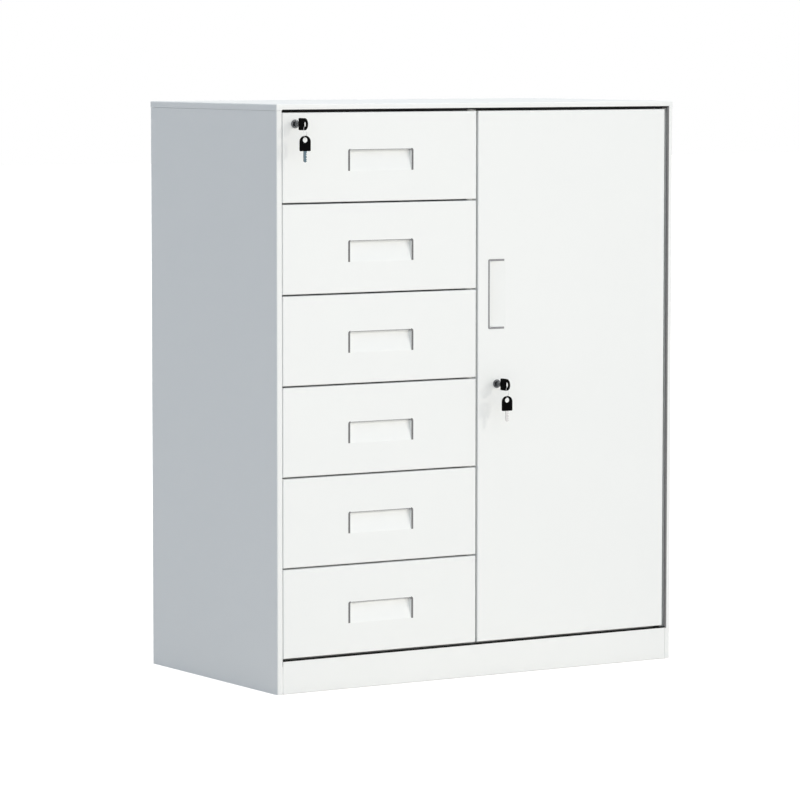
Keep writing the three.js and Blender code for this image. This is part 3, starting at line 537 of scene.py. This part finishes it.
def plate_shape(outlines, thickness, edge):
    """A plate from closed outlines, the later ones holes, with its edges rounded."""
    curve = bpy.data.curves.new("outline", "CURVE")
    curve.dimensions = "2D"
    curve.fill_mode = "BOTH"
    curve.resolution_u = 8
    curve.extrude = thickness / 2 - edge
    curve.bevel_depth = edge
    curve.bevel_resolution = 2
    curve.offset = -edge
    for points in outlines:
        spline = curve.splines.new("BEZIER")
        spline.bezier_points.add(len(points) - 1)
        spline.use_cyclic_u = True
        for target, (place, before, after) in zip(spline.bezier_points, points):
            target.co = (*place, 0)
            target.handle_left = (*before, 0)
            target.handle_right = (*after, 0)
    holder = bpy.data.objects.new("outline", curve)
    mesh = bpy.data.meshes.new_from_object(holder)
    shape = bmesh.new()
    shape.from_mesh(mesh)
    bpy.data.objects.remove(holder)
    bpy.data.curves.remove(curve)
    bpy.data.meshes.remove(mesh)
    close_up(shape)
    return shape


def flat_sides(shape):
    """Faces of a plate's two flat sides, as one list for each side."""
    level = 0.999  # of a normal that points straight up
    return [[face for face in shape.faces if face.normal.z * up > level] for up in (1, -1)]


def sink(shape, faces, border, depth):
    """Lowers flat faces inside a border."""
    bmesh.ops.inset_region(
        shape, faces=faces, thickness=border, depth=-depth, use_boundary=True, use_even_offset=True,
    )


def put(name, data):
    made = bpy.data.objects.new(name, data)
    bpy.context.scene.collection.objects.link(made)
    return made


def put_shape(name, shape):
    mesh = bpy.data.meshes.new(name)
    shape.to_mesh(mesh)
    shape.free()
    return put(name, mesh)


def add_piece(name, shape, maker, body, place=None):
    """Turns a shape into an object that rides on a body and has a finish."""
    close_up(shape, place)
    for face in shape.faces:
        face.smooth = False
    piece = put_shape(name, shape)
    paint(piece, maker)
    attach(piece, body)
    return piece


# Sheets and plated parts

class CABINET_OT_coated_sheets(bpy.types.Operator):
    """Gives the coated sheets their powder coat and rounded edges"""
    bl_idname = "cabinet.coated_sheets"
    bl_label = "Coated Sheets"

    def execute(self, context):
        for name in WHITE_SHEETS:
            dress(name, powder_coat)
        return {"FINISHED"}


class CABINET_OT_plated_parts(bpy.types.Operator):
    """Gives the plated inner parts and the hinge pins their finish"""
    bl_idname = "cabinet.plated_parts"
    bl_label = "Plated Parts"

    def execute(self, context):
        plated = ["lock_bar", "drawer_lock_cam", "door_lock_cam"]
        plated += [f"drawer_{n}_rail_{side}" for n in DRAWERS for side in SIDES]
        plated += [name for name in frame["nodes"] if name.startswith("shelf_clip")]
        for name in plated:
            dress(name, zinc_plate)
        for name in ("hinge_pin_lower", "hinge_pin_upper"):
            dress(name, blackened_steel)
        return {"FINISHED"}


# Finger pulls

def drawer_pull_place(number):
    """Own axes of a drawer's pull: along its width, up to the grip edge, and inward."""
    low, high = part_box(f"drawer_{number}_front")
    bottom = high.z - pull_sizes().drop - pull_sizes().height
    return own_axes(((low.x + high.x) / 2, low.y, bottom), LEFT, UP, INWARD)


def door_pull_place():
    """Own axes of the door's pull: along its length, across to the grip edge, and inward."""
    low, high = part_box("door_skin")
    sizes = pull_sizes()
    middle = low.z + (high.z - low.z) * sizes.door_top_share - sizes.door_width / 2
    side = low.x + sizes.door_inset + sizes.height
    return own_axes((side, low.y, middle), DOWN, LEFT, INWARD)


def end_strips(low, high, width):
    """Two strips, each up one end of a pull and round its far corner; low and high are one's section."""
    sizes = pull_sizes()
    straight = sizes.height - sizes.corner
    shape = bmesh.new()
    top = push(shape, [section(shape, low, high, 0)], (0, straight, 0))
    swing(shape, top, (-width / 2 + sizes.corner, straight, 0))
    bmesh.ops.mirror(shape, geom=all_of(shape), matrix=Matrix.Identity(4), merge_dist=SAME_POINT, axis="X")
    return shape


def pull_cheeks(width, seam):
    """Thin walls inside both ends of a pull, that stop at the pocket's sloping floor."""
    sizes = pull_sizes()
    near = -width / 2 + seam
    shape = end_strips((near, 0), (near + sizes.cheek, sizes.depth), width)
    slope = sizes.depth / (sizes.height + sizes.undercut)
    into_floor = sizes.cheek / 4
    cut_off(shape, (0, 0, into_floor), (0, -slope, 1))
    return shape


def drawer_shade_trim(width):
    """Flat grey trim on the face over both end seams of a drawer pull. Its grey is painted shade, standing
    for the shade along the pull's rounded ends and seams.
    """
    sizes = pull_sizes()
    low = (-width / 2 - sizes.lip, -sizes.proud)
    high = (-width / 2 + sizes.seam - sizes.slack, -sizes.slack)
    return end_strips(low, high, width)


def drawer_shade_bead(width):
    """Soft grey bead under a drawer pull's grip edge, between its two far corners. Its grey is painted
    shade, standing for the shadow under the grip edge.
    """
    sizes = pull_sizes()
    shape = bmesh.new()
    end = width / 2 - sizes.corner
    face = section(shape, (-end, 0), (end, fixing_sizes().sheet), sizes.height - sizes.bead)
    push(shape, [face], (0, sizes.bead - sizes.slack, 0))
    return shape


def door_pull_rim(width):
    """Flat rim beside the door pull's grip edge, level with the face."""
    sizes = pull_sizes()
    shape = bmesh.new()
    end = width / 2 - sizes.corner
    top = sizes.height - sizes.door_seam
    face = section(shape, (-end, 0), (end, fixing_sizes().sheet), top - sizes.rim)
    push(shape, [face], (0, sizes.rim, 0))
    return shape


def door_pull_shade_seal(width):
    """Seal in the seam along one end of the door pull, round both far corners and down the other end. Its
    grey is painted shade for the shade of the pull's rounded edges.
    """
    sizes = pull_sizes()
    shape = bmesh.new()
    straight = sizes.height - sizes.corner
    run = straight - sizes.seal_start
    turn = width / 2 - sizes.corner
    low = (-width / 2 + sizes.seal_slack, sizes.seal_recess)
    high = (
        -width / 2 + sizes.door_seam - sizes.seal_slack,
        sizes.seal_recess + sizes.seal_thickness,
    )
    face = push(shape, [section(shape, low, high, sizes.seal_start)], (0, run, 0))
    face = swing(shape, face, (-turn, straight, 0))
    face = push(shape, [face], (2 * turn, 0, 0))
    face = swing(shape, face, (turn, straight, 0))
    push(shape, [face], (0, -run, 0))
    return shape


class CABINET_OT_pulls(bpy.types.Operator):
    """Makes the cheeks and rim of the finger pulls, and the trims, beads and seal whose grey is painted
    shade along their edges
    """
    bl_idname = "cabinet.pulls"
    bl_label = "Finger Pulls"

    def execute(self, context):
        sizes = pull_sizes()
        width, door_width = sizes.width, sizes.door_width
        for number in DRAWERS:
            self.body, self.place = f"drawer_{number}", drawer_pull_place(number)
            self.add("cheeks", pull_cheeks(width, sizes.seam), powder_coat)
            # The trim is painted shade beside each end of the pull.
            self.add("trim", drawer_shade_trim(width), drawer_pull_painted_shade)
            # The bead is painted shade under the grip edge.
            self.add("bead", drawer_shade_bead(width), door_and_bead_painted_shade)
        self.body, self.place = "door", door_pull_place()
        self.add("cheeks", pull_cheeks(door_width, sizes.door_seam), powder_coat)
        self.add("rim", door_pull_rim(door_width), powder_coat)
        # The seal is painted shade round the door pull's edges.
        self.add("seal", door_pull_shade_seal(door_width), door_and_bead_painted_shade)
        return {"FINISHED"}

    def add(self, part, shape, maker):
        piece = add_piece(f"{self.body}_pull_{part}", shape, maker, self.body, self.place)
        round_edges(piece, pull_sizes().cheek / 6)


# Frame seal, painted shade along the gaps round the fronts

def frame_opening():
    """Lower left and upper right corners of the front frame's opening, in the plane of the fronts."""
    edge = fixing_sizes().frame_face
    left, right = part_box("left_side_panel")[0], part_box("right_side_panel")[1]
    low = Vector((left.x + edge, left.y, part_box("plinth_rail")[1].z))
    high = Vector((right.x - edge, left.y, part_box("top_panel")[0].z))
    return low, high


def painted_shade_strip(length, lip, mitre_start, mitre_end):
    """Angle strip with a lip on the frame's face and a foot in the gap. Its dark face is painted shade that
    widens the gap's shadow line.

    Its own axes are along, outward from the opening and inward. A mitred end is cut at 45 degrees, where it
    meets the next strip.
    """
    sizes = fixing_sizes()
    proud, slack = pull_sizes().proud, sizes.seal_slack
    profile = (
        (-sizes.seal_foot, -proud), (lip, -proud), (lip, -slack), (-slack, -slack),
        (-slack, sizes.seal_depth), (-sizes.seal_foot, sizes.seal_depth),
    )
    shape = bmesh.new()
    start = -lip if mitre_start else slack
    end = length + lip if mitre_end else length - slack
    face = shape.faces.new([shape.verts.new((start, out, deep)) for out, deep in profile])
    push(shape, [face], (end - start, 0, 0))
    if mitre_start:
        cut_off(shape, (slack, 0, 0), (-1, -1, 0))
    if mitre_end:
        cut_off(shape, (length - slack, 0, 0), (1, -1, 0))
    return shape


class CABINET_OT_frame_shade_seal(bpy.types.Operator):
    """Lays seals on the frame, along the plinth, up the hinge side and along the top; their dark and grey
    faces are painted shade along the gaps round the fronts
    """
    bl_idname = "cabinet.frame_seal"
    bl_label = "Frame Seal"

    def execute(self, context):
        sizes = fixing_sizes()
        low, high = frame_opening()
        wide, tall = high.x - low.x, high.z - low.z
        corner = (high.x, low.y, low.z)
        top = painted_shade_strip(wide, sizes.seal_lip, True, False)
        side = painted_shade_strip(tall, sizes.side_lip, True, True)
        bottom = painted_shade_strip(wide, sizes.seal_lip, False, True)
        # The top and bottom strips are painted shade along the gaps above and below the fronts.
        self.add("frame_shade_seal_top", top, black_rubber_and_shade, own_axes(high, LEFT, UP, INWARD))
        # The side strip is painted shade along the frame by the door's gap.
        self.add("frame_shade_seal_side", side, side_painted_shade, own_axes(corner, UP, RIGHT, INWARD))
        self.add("frame_shade_seal_bottom", bottom, black_rubber_and_shade, own_axes(low, RIGHT, DOWN, INWARD))
        return {"FINISHED"}

    def add(self, name, shape, maker, place):
        piece = add_piece(name, shape, maker, "carcass", place)
        round_edges(piece, pull_sizes().proud / 3)


# Locks and keys

def bow_outline(length, width, dome, foot):
    """Closed outline of a key's grip: flat foot with small corners and a domed end."""
    half = width / 2
    shoulder = length - dome
    bend = foot * (1 - ROUND_SHARE)
    lean = shoulder + dome * ROUND_SHARE
    spread = half * ROUND_SHARE
    return [
        ((0, -half + foot), (0, -half + foot), (0, -half + bend)),
        ((foot, -half), (bend, -half), (foot, -half)),
        ((shoulder, -half), (shoulder, -half), (lean, -half)),
        ((length, 0), (length, -spread), (length, spread)),
        ((shoulder, half), (lean, half), (shoulder, half)),
        ((foot, half), (foot, half), (bend, half)),
        ((0, half - foot), (0, half - bend), (0, half - foot)),
    ]


def hole_outline(x, along, across):
    """Closed outline of an oval hole."""
    bend, lean = along * ROUND_SHARE, across * ROUND_SHARE
    return [
        ((x + along, 0), (x + along, lean), (x + along, -lean)),
        ((x, -across), (x + bend, -across), (x - bend, -across)),
        ((x - along, 0), (x - along, -lean), (x - along, lean)),
        ((x, across), (x - bend, across), (x + bend, across)),
    ]


def blade_outline(length, width, tip, root):
    """Closed outline of a key's blade with its cuts along one edge."""
    half = width / 2
    cut_shares = (0.2, 0.34, 0.12, 0.3, 0.22)  # depth of each cut, of the blade's width
    pitch = (length - tip) / (len(cut_shares) + 1)
    points = [(root, half)]
    for index, share in enumerate(cut_shares, start=1):
        start, level = -index * pitch, half - share * width
        points += [(start, half), (start - pitch / 4, level), (start - pitch / 2, level)]
        points += [(start - pitch * 3 / 4, half)]
    points += [(-length + tip, half), (-length, 0), (-length + tip, -half), (root, -half)]
    return [(point, point, point) for point in points]


def bow_shape():
    """Grip with a raised border round its outline and round the hole."""
    sizes = key_sizes()
    outer = bow_outline(sizes.bow_length, sizes.bow_width, sizes.bow_dome, sizes.bow_foot)
    middle = sizes.bow_length - sizes.hole_inset
    hole = hole_outline(middle, sizes.hole_radius, sizes.hole_radius * sizes.hole_spread)
    shape = plate_shape([outer, hole], sizes.bow_thickness, edge=sizes.bow_thickness / 8)
    for faces in flat_sides(shape):
        sink(shape, faces, sizes.border, sizes.recess)
    return shape


def blade_shape():
    """Blade with its cuts and a groove along each side."""
    sizes = key_sizes()
    root = sizes.bow_thickness / 2
    outline = blade_outline(sizes.blade_length, sizes.blade_width, sizes.blade_tip, root)
    shape = plate_shape([outline], sizes.blade_thickness, edge=sizes.blade_thickness / 14)
    low, high = -sizes.blade_width * sizes.groove_far, -sizes.blade_width * sizes.groove_near
    for level in (low, high):
        bmesh.ops.bisect_plane(
            shape, geom=all_of(shape), dist=SAME_POINT, plane_co=(0, level, 0), plane_no=(0, 1, 0),
        )
    for faces in flat_sides(shape):
        strip = [face for face in faces if low < face.calc_center_median().y < high]
        sink(shape, strip, sizes.groove / 3, sizes.groove)
    return shape


def add_key(name, place, blade_maker):
    bow = add_piece(f"{name}_bow", bow_shape(), black_grip, name, place)
    add_piece(f"{name}_blade", blade_shape(), blade_maker, name, place)
    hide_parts(name)


def inserted_key_place(name):
    """The key in the plug: its length points out of the cabinet and its width stands upright."""
    low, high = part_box(name)
    foot = low.y + key_sizes().bow_length
    return own_axes(((low.x + high.x) / 2, foot, (low.z + high.z) / 2), OUTWARD, UP, LEFT)


def spare_key_place(name):
    """The spare key hangs from the ring: its length points up and its width lies sideways."""
    low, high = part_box(name)
    foot = high.z - key_sizes().bow_length
    return own_axes(((low.x + high.x) / 2, (low.y + high.y) / 2, foot), UP, RIGHT, INWARD)


def split_ring_shape(radius, wire):
    """Two turns of flat wire, one behind the other."""
    turns, steps = 2, 96
    filled = 0.9  # of the room that each turn has, so that the two stay apart
    height = wire / turns * filled
    shape = bmesh.new()
    section(shape, (radius - wire / 2, -wire / 2), (radius + wire / 2, -wire / 2 + height), 0)
    bmesh.ops.bevel(
        shape, geom=shape.verts[:], affect="VERTICES", offset=height / 4, segments=2, profile=0.5,
        material=-1,
    )
    bmesh.ops.spin(
        shape, geom=shape.faces[:], cent=(0, 0, 0), axis=(0, 0, 1), dvec=(0, 0, wire / steps),
        angle=math.tau * turns, steps=steps,
    )
    return shape


def add_split_ring(name):
    """The ring hangs through both bows, in an upright plane turned halfway between them."""
    low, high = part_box(name)
    wire = key_sizes().ring_wire
    radius = (high.z - low.z) / 2 - wire
    across, up = Vector((1, 1, 0)).normalized(), Vector(UP)
    place = own_axes((low + high) / 2, across, up, across.cross(up))
    shape = split_ring_shape(radius, wire)
    ring = add_piece(f"{name}_wire", shape, ring_steel, name, place)
    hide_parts(name)


def lock_nut_shape(height, corner, bore):
    """Hexagon nut, open in the middle."""
    shape = bmesh.new()
    outer = bmesh.ops.create_circle(shape, cap_ends=False, segments=6, radius=corner)["verts"]
    inner = bmesh.ops.create_circle(shape, cap_ends=False, segments=24, radius=bore)["verts"]
    edges = dict.fromkeys(edge for vert in outer + inner for edge in vert.link_edges)
    ring = bmesh.ops.bridge_loops(shape, edges=list(edges))["faces"]
    push(shape, ring, (0, 0, height))
    return shape


def add_lock_fixings(prefix, body, face_node, keeper_height):
    """Nut behind the face, and the clip or screw that keeps the cam on the plug."""
    sizes = fixing_sizes()
    low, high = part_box(f"{prefix}_lock_housing")
    middle = (low + high) / 2
    nut = lock_nut_shape(sizes.nut_height, sizes.nut_radius, sizes.nut_bore)
    nut_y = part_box(face_node)[0].y + sizes.sheet + sizes.nut_gap
    nut_place = own_axes((middle.x, nut_y, middle.z), RIGHT, DOWN, INWARD)
    piece = add_piece(f"{prefix}_lock_nut", nut, zinc_plate, body, nut_place)
    round_edges(piece, sizes.nut_height / 12)
    keeper = bmesh.new()
    plug = f"{prefix}_lock_plug"
    back = own_axes((middle.x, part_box(plug)[1].y, middle.z), RIGHT, DOWN, INWARD)
    lathe(keeper, PAN_HEAD, sizes.keeper_radius, keeper_height, back)
    add_piece(f"{prefix}_cam_keeper", keeper, zinc_plate, plug)


class CABINET_OT_locks(bpy.types.Operator):
    """Makes the keys, rings and fixings of the two locks and gives the locks their finish"""
    bl_idname = "cabinet.locks"
    bl_label = "Locks and Keys"

    def execute(self, context):
        sizes = fixing_sizes()
        locks = (
            ("drawer", "drawer_1", "drawer_1_front", sizes.clip_height, blued_steel),
            ("door", "door", "door_skin", sizes.screw_height, pale_steel),
        )
        for prefix, body, face_node, keeper_height, spare_blade in locks:
            dress(f"{prefix}_lock_housing", dark_nickel)
            dress(f"{prefix}_lock_plug", dark_nickel)
            key, spare = f"{prefix}_key", f"{prefix}_spare_key"
            add_key(key, inserted_key_place(key), dark_nickel)
            add_key(spare, spare_key_place(spare), spare_blade)
            add_split_ring(f"{prefix}_key_ring")
            add_lock_fixings(prefix, body, face_node, keeper_height)
        return {"FINISHED"}


# Small fixings

class CABINET_OT_rail_screws(bpy.types.Operator):
    """Screws each moving rail to its drawer box, with the heads inside the box"""
    bl_idname = "cabinet.rail_screws"
    bl_label = "Rail Screws"

    def execute(self, context):
        sizes = fixing_sizes()
        for number in DRAWERS:
            low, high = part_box(f"drawer_{number}_box")
            height = low.z + sizes.rail_axis
            for side in SIDES:
                rail_low, rail_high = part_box(f"drawer_{number}_rail_{side}")
                if side == "left":  # where the box has a catch, so its wall is found from the rail
                    wall, along, off_wall = rail_high.x + sizes.sheet, INWARD, RIGHT
                else:
                    wall, along, off_wall = high.x - sizes.sheet, OUTWARD, LEFT
                margin = (rail_high.y - rail_low.y) / (2 * sizes.rail_screws)
                shape = bmesh.new()
                for index in range(sizes.rail_screws):
                    spot = (wall, rail_low.y + margin * (2 * index + 1), height)
                    place = own_axes(spot, along, UP, off_wall)
                    lathe(shape, PAN_HEAD, sizes.screw_radius, sizes.screw_height, place)
                name, body = f"drawer_{number}_screws_{side}", f"drawer_{number}"
                add_piece(name, shape, zinc_plate, body)
        return {"FINISHED"}


class CABINET_OT_back_rivets(bpy.types.Operator):
    """Rivets the rear flanges to the back panel"""
    bl_idname = "cabinet.back_rivets"
    bl_label = "Back Rivets"

    def execute(self, context):
        sizes = fixing_sizes()
        low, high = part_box("left_side_panel")[0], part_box("right_side_panel")[1]
        base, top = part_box("plinth_rail")[1].z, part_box("top_panel")[0].z
        pitch = (top - base - 2 * sizes.flange) / (sizes.rivets - 1)
        shape = bmesh.new()
        for x in (low.x + sizes.flange / 2, high.x - sizes.flange / 2):
            for index in range(sizes.rivets):
                place = own_axes((x, high.y, base + sizes.flange + index * pitch), LEFT, UP, INWARD)
                lathe(shape, RIVET_HEAD, sizes.rivet_radius, sizes.rivet_height, place)
        add_piece("back_rivets", shape, zinc_plate, "carcass")
        return {"FINISHED"}


class CABINET_OT_door_bumpers(bpy.types.Operator):
    """Puts soft bumpers on the partition's flange, where the door's free edge closes"""
    bl_idname = "cabinet.door_bumpers"
    bl_label = "Door Bumpers"

    def execute(self, context):
        sizes = fixing_sizes()
        low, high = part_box("door_liner")
        flange_low, flange_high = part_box("centre_partition")
        x = (low.x + flange_high.x) / 2
        inset = (high.z - low.z) * sizes.bumper_share
        shape = bmesh.new()
        for z in (low.z + inset, high.z - inset):
            place = own_axes((x, flange_low.y, z), RIGHT, UP, OUTWARD)
            lathe(shape, BUMPER, sizes.bumper_radius, sizes.bumper_height, place)
        add_piece("door_bumpers", shape, black_rubber_and_shade, "carcass")
        return {"FINISHED"}


# Stage

def seen_directly(tree):
    """1 for what the camera sees straight, in a mirror finish or through glass, and else 0."""
    rays = node(tree, "ShaderNodeLightPath")
    straight = node(tree, "ShaderNodeMath", operation="MAXIMUM")
    link(tree, rays, "Is Camera Ray", straight, 0)
    link(tree, rays, "Is Glossy Ray", straight, 1)
    seen = node(tree, "ShaderNodeMath", operation="MAXIMUM")
    link(tree, straight, "Value", seen, 0)
    link(tree, rays, "Is Transmission Ray", seen, 1)
    return seen


def make_floor():
    stage = stage_settings()
    shape = bmesh.new()
    bmesh.ops.create_grid(shape, x_segments=1, y_segments=1, size=30)
    floor = put_shape("floor", shape)
    made, tree, shader = new_material("pale_floor")
    shader.inputs["Base Color"].default_value = (*stage.floor_tint, 1)
    shader.inputs["Roughness"].default_value = 0.9
    shader.inputs["Emission Color"].default_value = (1, 1, 1, 1)
    lift = node(tree, "ShaderNodeMath", operation="MULTIPLY")
    lift.inputs[1].default_value = stage.floor_lift
    link(tree, seen_directly(tree), "Value", lift, 0)
    link(tree, lift, "Value", shader, "Emission Strength")
    floor.data.materials.append(made)


def make_world():
    """Even light all round, with a white background where the camera sees it."""
    stage = stage_settings()
    world = bpy.data.worlds.new("even_light")
    world.use_nodes = True
    bpy.context.scene.world = world
    tree = world.node_tree
    even = tree.nodes["Background"]
    even.inputs["Color"].default_value = (*stage.sky_tint, 1)
    even.inputs["Strength"].default_value = stage.sky_strength
    white = node(tree, "ShaderNodeBackground", Color=(1, 1, 1, 1), Strength=1.0)
    mix = node(tree, "ShaderNodeMixShader")
    link(tree, seen_directly(tree), "Value", mix, 0)
    link(tree, even, "Background", mix, 1)
    link(tree, white, "Background", mix, 2)
    link(tree, mix, "Shader", tree.nodes["World Output"], "Surface")


def not_from_keys(light):
    """Keeps the hanging keys from blocking a lamp, so that only the key lamp draws their shadow."""
    clear = bpy.data.collections.new(f"{light.name}_passes")
    for piece in bpy.context.scene.objects:
        if "_key" in piece.name:
            clear.objects.link(piece)
    light.light_linking.blocker_collection = clear
    for linked in clear.collection_objects:
        linked.light_linking.link_state = "EXCLUDE"


def add_lamp(name, kind, strength, place, target):
    data = bpy.data.lights.new(name, kind)
    data.energy = strength
    data.color = stage_settings().lamp_tint
    light = put(name, data)
    light.location = place
    light.rotation_mode = "QUATERNION"
    light.rotation_quaternion = (Vector(target) - Vector(place)).to_track_quat("-Z", "Y")
    return light


def far_lamp(name, strength, turn, rise, spread):
    """A lamp that lights the whole front alike.

    It stands turned to the right of straight ahead and raised above level, and spreads, all in degrees.
    """
    turn, rise = math.radians(turn), math.radians(rise)
    away = Vector((math.sin(turn) * math.cos(rise), -math.cos(turn) * math.cos(rise), math.sin(rise)))
    middle = (BOX_AT_LOAD[0] + BOX_AT_LOAD[1]) / 2
    reach = 5  # metres, which changes nothing in the light
    light = add_lamp(name, "SUN", strength, middle + away * reach, middle)
    light.data.angle = math.radians(spread)
    return light


def make_lamps():
    """Three far lamps, and a near one whose light falls off to the lower right."""
    stage = stage_settings()
    far_lamp("key_lamp", stage.key_strength, turn=37, rise=19, spread=5)
    far_lamp("top_lamp", stage.top_strength, turn=0, rise=90, spread=4)
    not_from_keys(far_lamp("fill_lamp", stage.fill_strength, turn=24, rise=2, spread=40))
    near = add_lamp("front_lamp", "AREA", stage.front_power, stage.front_place, stage.front_aim)
    near.data.shape = "SQUARE"
    near.data.size = stage.front_size
    not_from_keys(near)


def make_camera():
    stage = stage_settings()
    data = bpy.data.cameras.new("camera")
    data.sensor_width = 36
    data.lens = stage.lens
    data.clip_end = 100
    camera = put("camera", data)
    camera.location = stage.camera_place
    camera.rotation_euler = (math.pi / 2 - stage.camera_dip, stage.camera_roll, -stage.camera_turn)
    bpy.context.scene.camera = camera


class CABINET_OT_stage(bpy.types.Operator):
    """Makes the floor, the lamps, the even light and the camera"""
    bl_idname = "cabinet.stage"
    bl_label = "Stage"

    def execute(self, context):
        make_floor()
        make_world()
        make_lamps()
        make_camera()
        context.scene.view_settings.view_transform = "Standard"
        return {"FINISHED"}


class CABINET_PT_pieces(bpy.types.Panel):
    """Lists what makes the cabinet's pieces, and the sizes and colours they use"""
    bl_idname = "CABINET_PT_pieces"
    bl_label = "Cabinet"
    bl_space_type = "VIEW_3D"
    bl_region_type = "UI"
    bl_category = "Cabinet"

    def draw(self, context):
        for operator in OPERATORS:
            self.layout.operator(operator.bl_idname)
        for holder in GROUPS:
            group = getattr(context.scene, holder)
            for name in group.__annotations__:
                self.layout.prop(group, name)


OPERATORS = (
    CABINET_OT_coated_sheets,
    CABINET_OT_plated_parts,
    CABINET_OT_pulls,
    CABINET_OT_frame_shade_seal,
    CABINET_OT_locks,
    CABINET_OT_rail_screws,
    CABINET_OT_back_rivets,
    CABINET_OT_door_bumpers,
    CABINET_OT_stage,
)
GROUPS = {
    "cabinet_finish": CabinetFinish,
    "cabinet_pull": CabinetPull,
    "cabinet_key": CabinetKey,
    "cabinet_fixing": CabinetFixing,
    "cabinet_stage": CabinetStage,
}


def register():
    for name, group in GROUPS.items():
        bpy.utils.register_class(group)
        setattr(bpy.types.Scene, name, PointerProperty(type=group))
    for operator in OPERATORS:
        bpy.utils.register_class(operator)
    bpy.utils.register_class(CABINET_PT_pieces)


def unregister():
    bpy.utils.unregister_class(CABINET_PT_pieces)
    for operator in reversed(OPERATORS):
        bpy.utils.unregister_class(operator)
    for name, group in GROUPS.items():
        delattr(bpy.types.Scene, name)
        bpy.utils.unregister_class(group)


def main():
    register()
    for operator in OPERATORS:
        group, call = operator.bl_idname.split(".")
        getattr(getattr(bpy.ops, group), call)()


if __name__ == "__main__":
    main()
